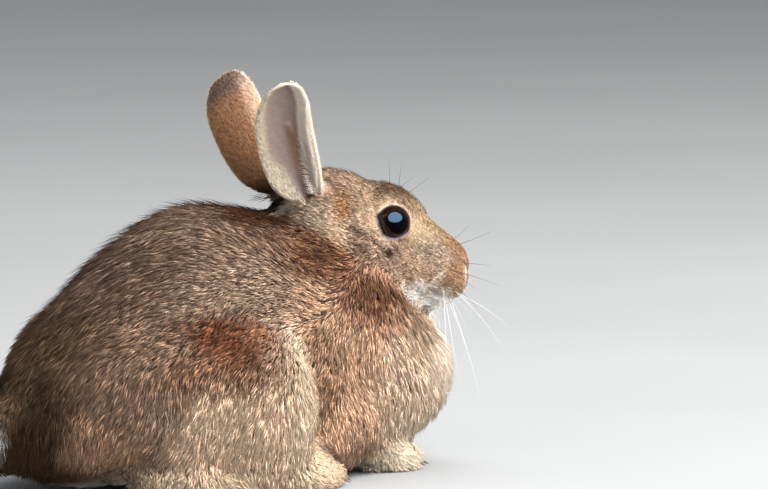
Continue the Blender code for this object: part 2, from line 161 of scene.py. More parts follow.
def unit(vectors):
    vectors = np.asarray(vectors, dtype=float)
    return vectors / np.maximum(np.linalg.norm(vectors, axis=-1, keepdims=True), 1e-9)


def ramp(low, high, value):
    """0 below low, 1 above high, and smooth between."""
    t = np.clip((np.asarray(value, dtype=float) - low) / (high - low), 0.0, 1.0)
    return t * t * (3.0 - 2.0 * t)


def fade(low, high, value):
    """1 below low, 0 above high, and smooth between."""
    return 1.0 - ramp(low, high, value)


def between(a, b, share):
    return a + (b - a) * share


def mingle(a, b, share):
    """Rows of colour or direction between a and b, with one share for each row."""
    return a + (np.asarray(b) - a) * np.asarray(share)[..., None]


def tone(red, green, blue):
    """A colour as seen on a screen, 0 to 255, as light."""
    return np.array([((c / 255.0 + 0.055) / 1.055) ** 2.4 for c in (red, green, blue)])


RIPPLE_WAVES = unit(np.random.default_rng(7).normal(size=(9, 3)))
RIPPLE_STARTS = np.random.default_rng(8).uniform(0.0, 6.283, size=(9, 4))[:, 0]


def folded(points):
    """Points of both halves as points of the left one."""
    return np.column_stack((points[:, 0], np.abs(points[:, 1]), points[:, 2]))


def ripple(points, scale):
    """Soft noise between about -1 and 1 whose bumps are as large as the scale."""
    total = 0.0
    for k, wave in enumerate(RIPPLE_WAVES):
        rate = (1.0 + 0.35 * (k % 4)) * 2.4 / scale
        total = total + np.sin(points @ wave * rate + RIPPLE_STARTS[k])
    return total / 3.2


# ---------------------------------------------------------------- frames

class Frame:
    """A place and three axes, in the body's frame."""

    def __init__(self, origin, axes):
        self.origin = np.asarray(origin, dtype=float)
        self.axes = np.asarray(axes, dtype=float)      # its columns are the axes

    def inside(self, points):
        return (points - self.origin) @ self.axes

    def outside(self, points):
        return np.asarray(points, dtype=float) @ self.axes.T + self.origin

    def turned_in(self, vectors):
        return vectors @ self.axes

    def turned_out(self, vectors):
        return np.asarray(vectors, dtype=float) @ self.axes.T


def middle_of(node):
    low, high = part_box(node)
    return 0.5 * (np.array(low) + np.array(high)) / MM


def head_frame():
    left_eye, right_eye = middle_of("eye_left"), middle_of("eye_right")
    left = unit(left_eye - right_eye)
    level = unit(np.cross(left, (0.0, 0.0, 1.0)))
    drop = math.radians(HEAD_DROP)
    ahead = level * math.cos(drop) - np.array((0.0, 0.0, 1.0)) * math.sin(drop)
    axes = np.column_stack((ahead, left, np.cross(ahead, left)))
    between_eyes = 0.5 * (left_eye + right_eye)
    return Frame(between_eyes - axes @ (EYE_AHEAD, 0.0, EYE_UP), axes)


def turn(axis, angle):
    return np.array(Matrix.Rotation(math.radians(angle), 3, axis))


def ear_frame(name, side):
    notch, back, out, forward = EAR_STANCE[name]
    axes = turn("Y", -HEAD_DROP) @ turn("Y", -back) @ turn("X", -out * side)
    axes = axes @ turn("Z", -forward * side) @ np.diag((1.0, side, 1.0))
    return Frame(HEAD.outside(notch), HEAD.axes @ axes)


BODY = Frame(np.zeros(3), np.eye(3))
HEAD = head_frame()
EARS = {name: ear_frame(name, side) for name, side in SIDES}
EYES = {name: middle_of("eye_" + name) for name, _ in SIDES}


def ear_half_width(u):
    spread = np.minimum(1.0, (u + 0.08) / 0.6)
    close = np.maximum(0.0, (u - 0.72) / 0.28)
    full = (1.0 - (1.0 - spread) ** 2) * (1.0 - close ** 2)
    return 0.5 * EAR_WIDTH * np.sqrt(np.maximum(0.02, full))


def ear_places(points, ear):
    """Where points are on an ear: u from notch to tip, v from rear rim (-1) to front."""
    local = ear.inside(points)
    u = np.clip(local[:, 2] / EAR_LENGTH, -0.2, 1.02)
    middle = -5.2 * (1.0 - u * u) - 1.6 * np.sin(np.pi * u)
    return u, (local[:, 0] - middle) / ear_half_width(np.minimum(u, 0.995)), local


def skull_distance(points):
    """How far points lie outside the head's round-ended shape."""
    start, start_radius, end, end_radius = SKULL
    start, end = np.array(start), np.array(end)
    local = HEAD.inside(points)
    along = np.clip((local - start) @ (end - start) / np.sum((end - start) ** 2), 0.0, 1.0)
    near = start + along[:, None] * (end - start)
    return np.linalg.norm(local - near, axis=1) - between(start_radius, end_radius, along)


def head_share(points):
    """1 on the head, 0 on the body and smooth at the neck."""
    return fade(-3.5, 1.5, skull_distance(points))


# ---------------------------------------------------------------- the lie of the coat

def read_rows(rows, points):
    """The rows' values at points, each row weighing less with distance."""
    halves = folded(points)
    total, weight_sum = 0.0, 0.0
    for place, comb, length, lift, density, reach in rows.values():
        off = np.sum((halves - np.array(place)) ** 2, axis=1) / reach ** 2
        weight = 1.0 / (off + LIE_SOFTNESS) ** 2.5
        values = np.array((*unit(comb), length, lift, density))
        total = total + weight[:, None] * values
        weight_sum = weight_sum + weight
    read = total / weight_sum[:, None]
    read[:, 1] *= np.where(points[:, 1] < 0.0, -1.0, 1.0)
    return read


def lie_of_coat(points):
    """Comb direction, hair length, lift and density at points, in one row each."""
    on_body = read_rows(BODY_LIE, points)
    on_head = read_rows(HEAD_LIE, HEAD.inside(points))
    on_head[:, :3] = HEAD.turned_out(on_head[:, :3])
    return mingle(on_body, on_head, head_share(points))


OUTER_LIFT = 0.3               # how much of its lift a tuft's outer part keeps
BEND_AT = 0.45


def coat_depth(lie):
    """How high the tips of the tufts stand over the skin."""
    lift = np.radians(lie[:, 4])
    rise = BEND_AT * np.sin(lift) + (1.0 - BEND_AT) * np.sin(OUTER_LIFT * lift)
    return lie[:, 3] * rise


# ---------------------------------------------------------------- meshes

def add_object(name, data):
    item = bpy.data.objects.new(name, data)
    bpy.context.scene.collection.objects.link(item)
    return item


def make_object(name, verts, faces):
    """A smooth mesh object from points in millimetres and faces of one kind."""
    mesh = bpy.data.meshes.new(name)
    mesh.vertices.add(len(verts))
    mesh.vertices.foreach_set("co", (np.asarray(verts) * MM).ravel())
    mesh.loops.add(faces.size)
    mesh.loops.foreach_set("vertex_index", faces.ravel())
    mesh.polygons.add(len(faces))
    mesh.polygons.foreach_set("loop_start", np.arange(len(faces)) * faces.shape[1])
    mesh.update(calc_edges=True)
    mesh.shade_smooth()
    return add_object(name, mesh)


def take_bmesh(name, bm):
    """A mesh object from a bmesh, which is freed."""
    mesh = bpy.data.meshes.new(name)
    bm.to_mesh(mesh)
    bm.free()
    return add_object(name, mesh)


def read_array(rows, name, width, kind=float):
    flat = np.empty(width * len(rows), dtype=kind)
    rows.foreach_get(name, flat)
    return flat.reshape(-1, width)


def read_verts(item):
    return read_array(item.data.vertices, "co", 3) / MM


def read_normals(item):
    return read_array(item.data.vertex_normals, "vector", 3)


def read_edges(item):
    return read_array(item.data.edges, "vertices", 2, np.int32)


def read_triangles(item):
    item.data.calc_loop_triangles()
    return read_array(item.data.loop_triangles, "vertices", 3, np.int32)


def write_verts(item, verts):
    item.data.vertices.foreach_set("co", (verts * MM).ravel())
    item.data.update()


def drop(*items):
    for item in items:
        bpy.data.objects.remove(item, do_unlink=True)


def apply_modifiers(item):
    depsgraph = bpy.context.evaluated_depsgraph_get()
    mesh = bpy.data.meshes.new_from_object(item.evaluated_get(depsgraph))
    item.modifiers.clear()
    item.data = mesh


def relax(verts, edges, passes, share):
    """Move each point towards the mean of its neighbours, by a share for each point."""
    count = np.bincount(edges.ravel(), minlength=len(verts))[:, None]
    share = np.broadcast_to(share, len(verts))[:, None] * (count > 0)
    for _ in range(passes):
        total = np.empty_like(verts)
        for axis in range(3):
            ends = np.concatenate((verts[edges[:, 1], axis], verts[edges[:, 0], axis]))
            at = np.concatenate((edges[:, 0], edges[:, 1]))
            total[:, axis] = np.bincount(at, weights=ends, minlength=len(verts))
        verts = verts + share * (total / np.maximum(count, 1) - verts)
    return verts


def grown_flesh(name, nodes, growth):
    """The nodes' own closed surfaces in one object, each pushed outward a little."""
    bm = bmesh.new()
    for node in nodes:
        part = bmesh.new()
        part.from_mesh(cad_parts[node].data)
        bmesh.ops.remove_doubles(part, verts=part.verts, dist=0.01 * MM)
        part.normal_update()
        shifts = [vert.normal * growth * MM for vert in part.verts]
        for vert, shift in zip(part.verts, shifts):
            vert.co += shift
        mesh = bpy.data.meshes.new(name)
        part.to_mesh(mesh)
        part.free()
        bm.from_mesh(mesh)
        bpy.data.meshes.remove(mesh)
    return take_bmesh(name, bm)


def remesh(item, voxel):
    blend = item.modifiers.new("Blend", "REMESH")
    blend.mode = "VOXEL"
    blend.voxel_size = voxel * MM
    apply_modifiers(item)


def refine(item, wanted):
    """Halve the edges whose two ends are both wanted, a test on places in millimetres."""
    marks = wanted(read_verts(item))
    bm = bmesh.new()
    bm.from_mesh(item.data)
    bm.verts.ensure_lookup_table()
    edges = [e for e in bm.edges if marks[e.verts[0].index] and marks[e.verts[1].index]]
    bmesh.ops.subdivide_edges(bm, edges=edges, cuts=1, use_grid_fill=True)
    bm.to_mesh(item.data)
    bm.free()


def unite(item, *others):
    for other in others:
        union = item.modifiers.new("Unite", "BOOLEAN")
        union.operation = "UNION"
        union.solver = "MANIFOLD"
        union.object = other
        apply_modifiers(item)
    drop(*others)


# ---------------------------------------------------------------- the eye's opening

OPENING = 58.0                 # degrees from the opening's middle to its edge
OPENING_BACK = 0.17            # how far behind the gaze the opening lies
CORNERS = ((190.0, 13.0, 13.0), (-12.0, 9.0, 15.0))     # where, how far, how broad


def eye_frame(name, side, back=OPENING_BACK):
    """X to the nose, Y up round the eye and Z out through the opening."""
    gaze = unit(HEAD.turned_out((-back, side, 0.03)))
    ahead = unit(HEAD.turned_out((1.0, 0.0, 0.0)))
    ahead = unit(ahead - gaze * (ahead @ gaze))
    rise = np.cross(gaze, ahead) * side * -1.0
    return Frame(EYES[name], np.column_stack((ahead, rise, gaze)))


EYE_FRAMES = {name: eye_frame(name, side) for name, side in SIDES}


def opening_edge(around):
    """The lids' edge, in radians from the gaze, all the way round the eye."""
    edge = np.full(np.shape(around), OPENING)
    for where, far, broad in CORNERS:
        off = (np.degrees(around) - where + 180.0) % 360.0 - 180.0
        edge = edge + far * np.exp(-(off / broad) ** 2)
    return np.radians(edge)


def eye_places(points, eye):
    """Angle round the eye, distance outside the lids' edge along the ball, and height."""
    local = eye.inside(points)
    reach = np.linalg.norm(local, axis=1)
    around = np.arctan2(local[:, 1], local[:, 0])
    off_gaze = np.arccos(np.clip(local[:, 2] / np.maximum(reach, 1e-6), -1.0, 1.0))
    return around, (off_gaze - opening_edge(around)) * EYE_RADIUS, reach - EYE_RADIUS


def round_eyes(points):
    """For each eye, its frame and where the points lie round it."""
    return [(eye, *eye_places(points, eye)) for eye in EYE_FRAMES.values()]


# Across a lid: distance outside the opening's edge and height over the ball, all the way
# round from the margin over the lid, down into the head and back under it
LID_PROFILE = (
    (0.0, -0.05), (0.08, 0.22), (0.3, 0.5), (0.7, 0.72), (1.2, 0.82), (2.0, 0.8),
    (3.2, 0.68), (4.6, 0.5), (6.0, 0.22), (7.2, -0.6), (8.0, -2.0), (7.0, -3.4),
    (4.6, -3.8), (2.3, -3.8), (0.0, -3.4), (-0.5, -1.5),
)


def lid_ring(name, eye, flip):
    """A closed ring of flesh that hugs the eyeball round its opening."""
    steps, sides = 96, len(LID_PROFILE)
    out, height = np.array(LID_PROFILE).T
    around = np.linspace(0.0, 2.0 * np.pi, steps, endpoint=False)[:, None]
    angle = opening_edge(around) + out / EYE_RADIUS
    reach = EYE_RADIUS + height
    local = np.stack((np.sin(angle) * np.cos(around), np.sin(angle) * np.sin(around),
                      np.cos(angle)), axis=-1) * reach[..., None]
    verts = eye.outside(local.reshape(-1, 3))
    i, j = np.meshgrid(np.arange(steps), np.arange(sides), indexing="ij")
    k, m = (i + 1) % steps, (j + 1) % sides
    faces = np.stack((i * sides + j, k * sides + j, k * sides + m, i * sides + m), -1)
    faces = faces.reshape(-1, 4)
    return make_object(name, verts, faces[:, ::-1] if flip else faces)


# ---------------------------------------------------------------- the skin

def near_path(points, path, width):
    """1 on a path of places and 0 well beside it."""
    path = np.asarray(path, dtype=float)
    nearest = np.full(len(points), 1e9)
    for start, end in zip(path, path[1:]):
        reach = end - start
        along = np.clip((points - start) @ reach / (reach @ reach), 0.0, 1.0)
        off = np.sum((points - start - along[:, None] * reach) ** 2, axis=1)
        nearest = np.minimum(nearest, off)
    return np.exp(-nearest / width ** 2)


# Folds of the face in the head's frame: path, width, and how far the skin is raised
FACE_FOLDS = {
    "nostril": (((44.2, 1.4, -7.0), (43.0, 4.0, -4.6), (40.6, 6.4, -2.6)), 0.9, -1.9),
    "nostril_rim": (((43.0, 3.4, -8.2), (41.6, 6.0, -5.6), (39.6, 7.0, -3.6)), 1.3, 0.7),
    "nose_wing": (((44.0, 0.0, -2.2), (42.6, 3.6, -0.8), (40.2, 5.4, -0.6)), 1.4, 0.5),
    "philtrum": (((45.2, 0, -5.5), (46.6, 0, -10.5), (45.6, 0, -16.0)), 0.8, -1.1),
    "mouth": (((45.4, 0, -16.4), (42.5, 4.6, -18.4), (37.0, 7.4, -19.4),
               (30.0, 8.4, -19.6)), 1.1, -0.8),
    "under_lid": (((-9.0, 19.5, -8.0), (-2.0, 20.0, -10.5), (5.0, 19.5, -11.8),
                   (9.0, 16.5, -10.6)), 1.5, -0.8),
    "brow_fold": (((-7.0, 17.5, 7.5), (-1.0, 16.5, 9.8), (6.0, 15.0, 8.4)), 1.8, 0.5),
    "tear_line": (((9.5, 15.6, -3.0), (15.0, 12.8, -5.0), (21.0, 10.4, -5.6)), 1.4, -0.5),
}
FACE_FULLNESS = {              # place, breadth, how far the skin is raised
    "pad": ((36.0, 8.0, -11.5), 5.0, 0.7),
    "chin": ((35.0, 0.0, -24.0), 6.0, 1.3),
    "cheek": ((-8.0, 20.0, -15.0), 9.0, 0.6),
}
TOE_GROOVES = {                # on a foot: where its toes begin and end, and the grooves
    "hind": ((22.0, 39.0), (38.2, 43.0, 47.8), 1.9),
    "fore": ((76.0, 91.0), (12.2, 16.0, 19.8), 1.7),
}
GROOVE_WIDTH = 0.9
# Fills the deep pocket over each hind foot: place, radius, twice
FOOT_PAD = ((14.0, 37.0, 15.0), 8.0, (25.0, 37.0, 12.0), 6.0)


def body_skin():
    """The skin of all but the ears, with its folds."""
    nodes = [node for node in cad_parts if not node.startswith(("eye_", "ear_"))]
    item = grown_flesh("skin", nodes, SKIN_GROWTH)
    start, start_radius, end, end_radius = FOOT_PAD
    pads = [capsule("pad", BODY, np.array(start) * (1.0, side, 1.0), start_radius,
                    np.array(end) * (1.0, side, 1.0), end_radius) for _, side in SIDES]
    item = join("skin", [item] + pads)
    remesh(item, SKIN_VOXEL)
    refine(item, lambda points: head_share(points) > 0.2)
    refine(item, fine_face)
    verts, edges = read_verts(item), read_edges(item)
    in_socket = np.zeros(len(verts), dtype=bool)
    for eye in EYES.values():
        in_socket |= np.linalg.norm(verts - eye, axis=1) < SOCKET
    delicate = np.maximum(head_share(verts), fade(13.0, 20.0, verts[:, 2]))
    delicate[in_socket] = 1.0
    verts = relax(verts, edges, FACE_ROUNDING, np.where(in_socket, 0.0, 0.5))
    verts = relax(verts, edges, SKIN_ROUNDING, 0.5 * (1.0 - delicate))
    write_verts(item, verts)
    depth = coat_depth(lie_of_coat(verts)) + SKIN_GROWTH
    depth *= between(0.35, 1.0, ramp(2.0, 14.0, verts[:, 2]))
    depth[in_socket] = 0.0
    verts = verts - read_normals(item) * depth[:, None]
    verts = relax(verts, edges, 4, 0.5 * (1.0 - delicate))
    verts[:, 2] = np.maximum(verts[:, 2], SKIN_FLOOR)
    for eye in EYE_FRAMES.values():
        verts = drawn_to_eye(verts, eye)
        _, beside, height = eye_places(verts, eye)
        round_eye = ramp(0.6, 1.8, beside) * fade(5.0, 8.0, beside) * (height < 7.0)
        verts = relax(verts, edges, 5, 0.5 * round_eye)
    local = HEAD.inside(verts)
    drawn = ramp(34.0, 46.0, local[:, 0]) * ramp(-13.0, -6.0, local[:, 2]) * head_share(verts)
    local[:, 1] *= 1.0 - NOSE_NARROWING * drawn
    local[:, 0] += NOSE_LENGTHENING * drawn
    verts = between(verts, HEAD.outside(local), (drawn > 0.0)[:, None])
    write_verts(item, verts)
    verts = verts + read_normals(item) * folds(verts)[:, None]
    write_verts(item, verts)
    return item


def drawn_to_eye(verts, eye):
    """The skin brought down to the ball's edge, so that the ball stands clear of it."""
    _, beside, height = eye_places(verts, eye)
    most = 0.75 * np.maximum(beside, 0.0) ** 1.2 + 1.4 * ramp(-0.4, 0.7, beside) - 0.7
    excess = np.maximum(height - most, 0.0)
    excess *= fade(3.0, 7.0, beside) * fade(6.0, 9.0, height)
    return verts - unit(verts - eye.origin) * excess[:, None]


def fine_face(points):
    local = HEAD.inside(points)
    fine = (local[:, 0] > 27.0) & (head_share(points) > 0.5)
    for _, _, beside, height in round_eyes(points):
        fine |= (np.abs(beside) < 5.0) & (np.abs(height) < 5.0)
    return fine


def folds(verts):
    """How far the skin is raised at each point by the folds and toes."""
    local = folded(HEAD.inside(verts))
    raised = np.zeros(len(verts))
    for path, width, height in FACE_FOLDS.values():
        raised += height * near_path(local, path, width)
    for place, breadth, height in FACE_FULLNESS.values():
        off = np.sum((local - place) ** 2, axis=1)
        raised += height * np.exp(-off / breadth ** 2)
    raised *= head_share(verts)
    x, y = verts[:, 0], np.abs(verts[:, 1])
    low = fade(12.0, 16.0, verts[:, 2])
    for (start, end), grooves, depth in TOE_GROOVES.values():
        on_toes = ramp(start, start + 6.0, x) * fade(end, end + 3.0, x) * low
        for groove in grooves:
            raised -= depth * on_toes * np.exp(-((y - groove) / GROOVE_WIDTH) ** 2)
    return raised


EAR_STALK = ((-2.0, -7.0, 5.0), 3.6, (1.0, -4.0, -13.0), 8.5)   # place, radius, twice
EAR_FOOT_DROPS = (1.3, 2.6, 3.9)        # how far each copy of an ear's foot is let down
EAR_FOOT_NARROWING = 6.0       # how far the rear of an ear's foot is drawn forward
EAR_FOLD_HEIGHT = 1.1
EAR_FOLD = ((-1.5, -4.0, 36.0), (0.5, -7.0, 24.0), (0.5, -7.0, 12.0), (-0.5, -3.0, 1.0))


def capsule(name, place, start, start_radius, end, end_radius):
    """A tapered length with round ends."""
    start, end = np.array(start), np.array(end)
    reach = Vector(end - start)
    bm = bmesh.new()
    bmesh.ops.create_uvsphere(bm, u_segments=24, v_segments=12, radius=1.0)
    for vert in bm.verts:
        ahead = vert.co.z > 0.01
        vert.co *= end_radius if ahead else start_radius
        if ahead:
            vert.co.z += reach.length
    bm.transform(reach.to_track_quat("Z", "Y").to_matrix().to_4x4())
    item = take_bmesh(name, bm)
    local = np.array([vert.co[:] for vert in item.data.vertices])
    write_verts(item, place.outside(local + start))
    if np.linalg.det(place.axes) < 0.0:
        item.data.flip_normals()
    return item


def join(name, items):
    bm = bmesh.new()
    for item in items:
        bm.from_mesh(item.data)
    drop(*items)
    return take_bmesh(name, bm)


def ear_skin(name):
    """An ear whose foot and stalk reach down into the head's skin."""
    ear = EARS[name]
    parts = [grown_flesh("leaf", ["ear_" + name], 0.0)]
    for down in EAR_FOOT_DROPS:
        foot = grown_flesh("foot", ["ear_" + name], 0.0)
        local = ear.inside(read_verts(foot))
        gather = ramp(2.0, 8.0, local[:, 2])[:, None]
        local[:, :2] = between(local[:, :2], np.array(EAR_STALK[0][:2]), gather)
        local[:, 2] = np.minimum(local[:, 2], 8.0) - down
        write_verts(foot, ear.outside(local))
        parts.append(foot)
    parts.append(capsule("stalk", ear, *EAR_STALK))
    item = join("ear_skin", parts)
    remesh(item, EAR_VOXEL)
    verts, edges = read_verts(item), read_edges(item)
    verts = relax(verts, edges, 4, 0.5)
    local = ear.inside(verts)
    narrow = fade(-6.0, 15.0, local[:, 2]) * ramp(1.0, 9.0, -local[:, 0])
    local[:, 0] += EAR_FOOT_NARROWING * narrow
    verts = ear.outside(local)
    write_verts(item, verts)
    normals = read_normals(item)
    opening = ear.turned_in(normals)[:, 1] > 0.0
    ridge = EAR_FOLD_HEIGHT * near_path(local, EAR_FOLD, 1.5) * opening
    write_verts(item, verts + normals * (ridge + 0.1)[:, None])
    return item


def make_skin():
    item = body_skin()
    others = [ear_skin(name) for name, _ in SIDES]
    others += [lid_ring("lid", EYE_FRAMES[name], side < 0.0) for name, side in SIDES]
    unite(item, *others)
    verts, edges = read_verts(item), read_edges(item)
    joint = np.zeros(len(verts))
    for _, _, beside, height in round_eyes(verts):
        near = ramp(1.6, 2.6, beside) * fade(7.0, 9.0, beside)
        joint = np.maximum(joint, near * (height > 0.1) * (height < 6.0))
    write_verts(item, relax(verts, edges, 5, 0.5 * joint))
    item.name = "skin"
    item.data.name = "skin"
    item.data.shade_smooth()
    return item


# ---------------------------------------------------------------- markings

BODY_BASE = tone(160, 130, 108)
HEAD_BASE = tone(178, 150, 124)
# Patches of colour in the body's frame: middle, radii, colour, strength; some are painted
# light and shade
BODY_MARKS = {
    # painted light: the back is painted lighter where the lamps reach it less
    "lightened_back": ((-40, 0, 112), (62, 30, 24), (204, 172, 148), 0.85),
    # the rump's darker fur, with painted shade away from the light
    "dark_shaded_rump": ((-92, 0, 60), (34, 50, 48), (116, 90, 63), 0.8),
    # painted shade on the low rear of the rump, away from the light
    "shaded_seat": ((-100, 26, 26), (30, 40, 28), (62, 42, 26), 0.85),
    "flank": ((-6, 44, 86), (44, 18, 19), (182, 155, 133), 0.75),
    "shoulder": ((48, 36, 52), (26, 20, 34), (221, 180, 148), 0.85),
    "chest_side": ((80, 32, 42), (22, 22, 34), (224, 198, 172), 0.85),
    "chest_front": ((106, 0, 46), (22, 42, 34), (246, 230, 212), 0.95),
    "chest_low": ((94, 8, 18), (26, 30, 18), (222, 208, 186), 0.9),
    "rusty_nape": ((20, 0, 110), (22, 30, 14), (94, 53, 30), 0.95),
    # rusty fur with painted shade in the fold under the jaw
    "rusty_shaded_fold": ((41, 24, 94), (18, 12, 12), (140, 96, 68), 0.9),
    "rusty_neck": ((60, 34, 80), (18, 14, 14), (194, 148, 120), 0.8),
    # darker brown neck fur with painted shade below the jaw
    "dark_shaded_neck": ((55, 33, 80), (12, 12, 8), (118, 76, 54), 0.8),
    "pale_thigh": ((-10, 58, 30), (36, 24, 26), (232, 202, 172), 0.85),
    "pale_thigh_edge": ((18, 50, 34), (13, 24, 36), (228, 206, 180), 0.95),
    # painted shade in the fold over the top of the thigh
    "shaded_haunch_fold": ((-36, 50, 68), (26, 16, 8), (140, 110, 92), 0.6),
    "rust_haunch": ((-14, 50, 67), (17, 14, 11), (116, 67, 43), 0.9),
    "rusty_parting": ((31, 38, 54), (8, 14, 22), (150, 116, 90), 0.7),
    "haunch_rear": ((-66, 44, 56), (20, 20, 18), (168, 136, 112), 0.6),
    "rusty_thigh": ((-22, 55, 54), (24, 14, 8), (140, 98, 72), 0.75),
    "orange_knee": ((-1, 50, 69), (10, 10, 6), (172, 120, 88), 0.85),
    "red_seat": ((-74, 44, 28), (17, 16, 14), (190, 150, 120), 0.8),
    # painted shade on the nape between the ears' feet
    "shaded_nape": ((26, 4, 112), (11, 16, 9), (50, 28, 14), 1.0),
    "pale_belly": ((0, 0, 0), (100, 36, 11), (232, 224, 212), 0.9),
    "hind_foot": ((-6, 42, 6), (62, 17, 11), (212, 188, 160), 0.8),
    "forepaw": ((80, 17, 6), (24, 15, 12), (222, 206, 182), 0.9),
    "white_tail": ((-112, 0, 20), (11, 15, 17), (244, 240, 234), 1.0),
    "brown_tail": ((-98, 0, 43), (16, 22, 10), (118, 92, 70), 0.9),
}
HEAD_MARKS = {
    "forehead": ((2, 0, 16), (20, 12, 8), (140, 114, 88), 0.75),
    "crown": ((-20, 0, 12), (14, 14, 8), (212, 182, 156), 0.8),
    "bridge": ((24, 4, 8), (16, 8, 8), (184, 160, 124), 0.8),
    "tan_nose": ((38, 4, -2), (11, 9, 9), (170, 128, 94), 0.8),
    "tan_pad": ((35, 9, -9), (8, 7, 7), (166, 128, 94), 0.8),
    "low_pad": ((38, 9, -15), (4.5, 6, 4), (170, 138, 106), 0.75),
    "white_chin": ((35, 0, -26.4), (18, 16, 10), (255, 255, 252), 1.0),
    "white_jaw": ((20, 5, -32), (17, 13, 8), (220, 208, 194), 0.95),
    "pale_throat": ((0, 0, -32), (22, 16, 9), (224, 210, 194), 0.85),
    "grey_cheek": ((8, 17, -15), (15, 12, 8), (174, 146, 127), 0.75),
    "pale_cheek": ((-20, 22, -13), (12, 10, 9), (200, 172, 146), 0.85),
    "orange_temple": ((-21.5, 17, -1.5), (4.5, 6, 8), (172, 126, 88), 0.9),
    "below_ear": ((-30, 19, -8), (7, 9, 8), (190, 168, 146), 0.8),
    "white_cleft": ((31.5, 11, -15.5), (2.0, 6, 6), (224, 214, 200), 0.75),
    "muzzle_side": ((25, 10, -5), (9, 7, 6), (196, 174, 154), 0.7),
    "cream_stripe": ((15, 13, 1), (9, 6, 5), (202, 182, 150), 0.8),
    "dark_brow": ((8, 0, 17), (10, 8, 3.5), (124, 96, 68), 0.7),
    # painted shade at the back of the head between the ears
    "shaded_poll": ((-46, 6, -13), (8, 13, 8), (44, 26, 15), 1.0),
    # painted shade where the fold under the eye ends
    "dark_spot": ((5.5, 19.5, -12.2), (2.7, 5, 1.9), (44, 26, 17), 1.0),
}
# Paths of painted light and shade: a painted highlight down the nose's edge, painted shade
# along the fold under the eye, and painted shade along the crease under the jaw
NOSE_HIGHLIGHT = ((41.4, 6.2, -3.4), (42.4, 6.2, -8.0), (43.0, 6.0, -12.0), (42.6, 5.6, -16.0))
UNDER_EYE_SHADE = ((-14, 0, -8.6), (-9.5, 0, -9.4), (-5, 0, -9.9), (0.2, 0, -11), (4.5, 0, -12))
JAW_CREASE_SHADE = ((30, 0, 96), (37, 0, 94), (48, 0, 91), (58, 0, 84), (65, 0, 80), (71, 0, 76))
# Tones of lines. The nose's highlight and the shade under the eye, under the jaw and in the
# nostril are painted; the eye ring's and the lids' tones are their own colours.
LINE_TONES = {
    "dark_line": (66, 40, 27), "jaw_crease_shade": (84, 50, 33), "nose_edge": (240, 224, 204),
    "nostril": (48, 28, 24), "eye_ring": (200, 171, 142), "lid_margin": (40, 26, 22),
    "lower_lid": (132, 104, 110),
}
LOWER_LID = -55.0              # degrees round the eye to the middle of the lower lid
MARK_EDGE = 0.42               # how softly a patch ends
EAR_TONES = {
    "outer": (142, 98, 62),
    # painted shade on the outside of the ear's foot, low between the ears
    "outer_foot_shade": (60, 36, 19),
    "outer_front": (190, 160, 138),
    "outer_tip": (92, 68, 52),
    "inner": (118, 100, 90),
    "inner_rear": (152, 139, 122),
    "inner_fold": (112, 80, 60),
    "inner_front": (196, 180, 168),
    # painted shade in the hollow of the opening near the ear's foot
    "deep": (66, 39, 27),
    "rim": (206, 192, 170),
    "foot": (158, 128, 106),
}


def lay_marks(colours, points, marks):
    for place, radii, colour, strength in marks.values():
        off = np.linalg.norm((folded(points) - place) / np.array(radii), axis=1)
        off = off + 0.16 * ripple(points, 0.55 * min(radii))
        share = strength * fade(1.0 - MARK_EDGE, 1.0 + MARK_EDGE, off)
        colours = mingle(colours, tone(*colour), share)
    return colours


def side_line(halves, path, width, inner):
    """1 on a line as seen from the side, where points lie well out from the middle."""
    return near_path(halves * (1.0, 0.0, 1.0), path, width) * ramp(*inner, halves[:, 1])


def ear_band(u):
    """How far across an ear its pale rear fur reaches, from -1 to 1."""
    return -0.68 + 0.5 * fade(0.25, 0.5, u) + 0.4 * fade(0.0, 0.12, u)


def ear_colours(points, normals, name):
    u, v, _ = ear_places(points, EARS[name])
    facing = EARS[name].turned_in(normals)[:, 1]
    tones = {key: tone(*value) for key, value in EAR_TONES.items()}
    # The outside is painted with shade towards the ear's foot
    outer = mingle(tones["outer_foot_shade"], tones["outer"], ramp(-0.04, 0.15, u + 0.1 * v))
    outer = mingle(outer, tones["outer_tip"], ramp(0.74, 0.9, u))
    front = ramp(0.3, 0.75, v) * fade(0.8, 0.98, u) * (1.0 - 0.4 * ramp(0.3, 0.7, u))
    outer = mingle(outer, tones["outer_front"], front)
    band = ear_band(u)
    inner = mingle(tones["inner_rear"], tones["inner"], ramp(band - 0.15, band + 0.2, v))
    inner = mingle(inner, tones["inner_fold"], ramp(0.0, 0.3, v) * fade(0.5, 0.75, u))
    # Painted shade in the hollow of the opening, low and towards the front
    deep = fade(0.02, 0.32, u) * ramp(-0.15, 0.2, v)
    inner = mingle(inner, tones["deep"], 0.92 * deep)
    inner = mingle(inner, tones["inner_front"], ramp(0.55, 0.7, v) * ramp(0.0, 0.06, u))
    colours = mingle(outer, inner, ramp(-0.1, 0.15, facing))
    foot = fade(0.0, 0.09, u) * ramp(0.45, 0.7, v)
    colours = mingle(colours, tones["foot"], foot)
    rim = ramp(0.88, 0.97, np.abs(v)) * ramp(0.03, 0.12, u) + ramp(0.965, 0.99, u)
    rim = np.clip(rim, 0.0, 1.0) * ramp(-0.9, -0.3, facing)
    return mingle(colours, tones["rim"], 0.8 * rim)


def ear_shares(points):
    """For each ear, how surely points belong to it."""
    shares = {}
    for name, ear in EARS.items():
        local = ear.inside(points)
        level = local[:, 2]
        across = np.hypot((local[:, 0] + 5.0) / 15.5, (local[:, 1] + 3.0) / 11.0)
        lowest = between(-4.0, 0.5, ramp(-2.0, 1.0, local[:, 1]))
        shares[name] = ramp(lowest, lowest + 5.0, level) * fade(0.95, 1.2, across)
    return shares


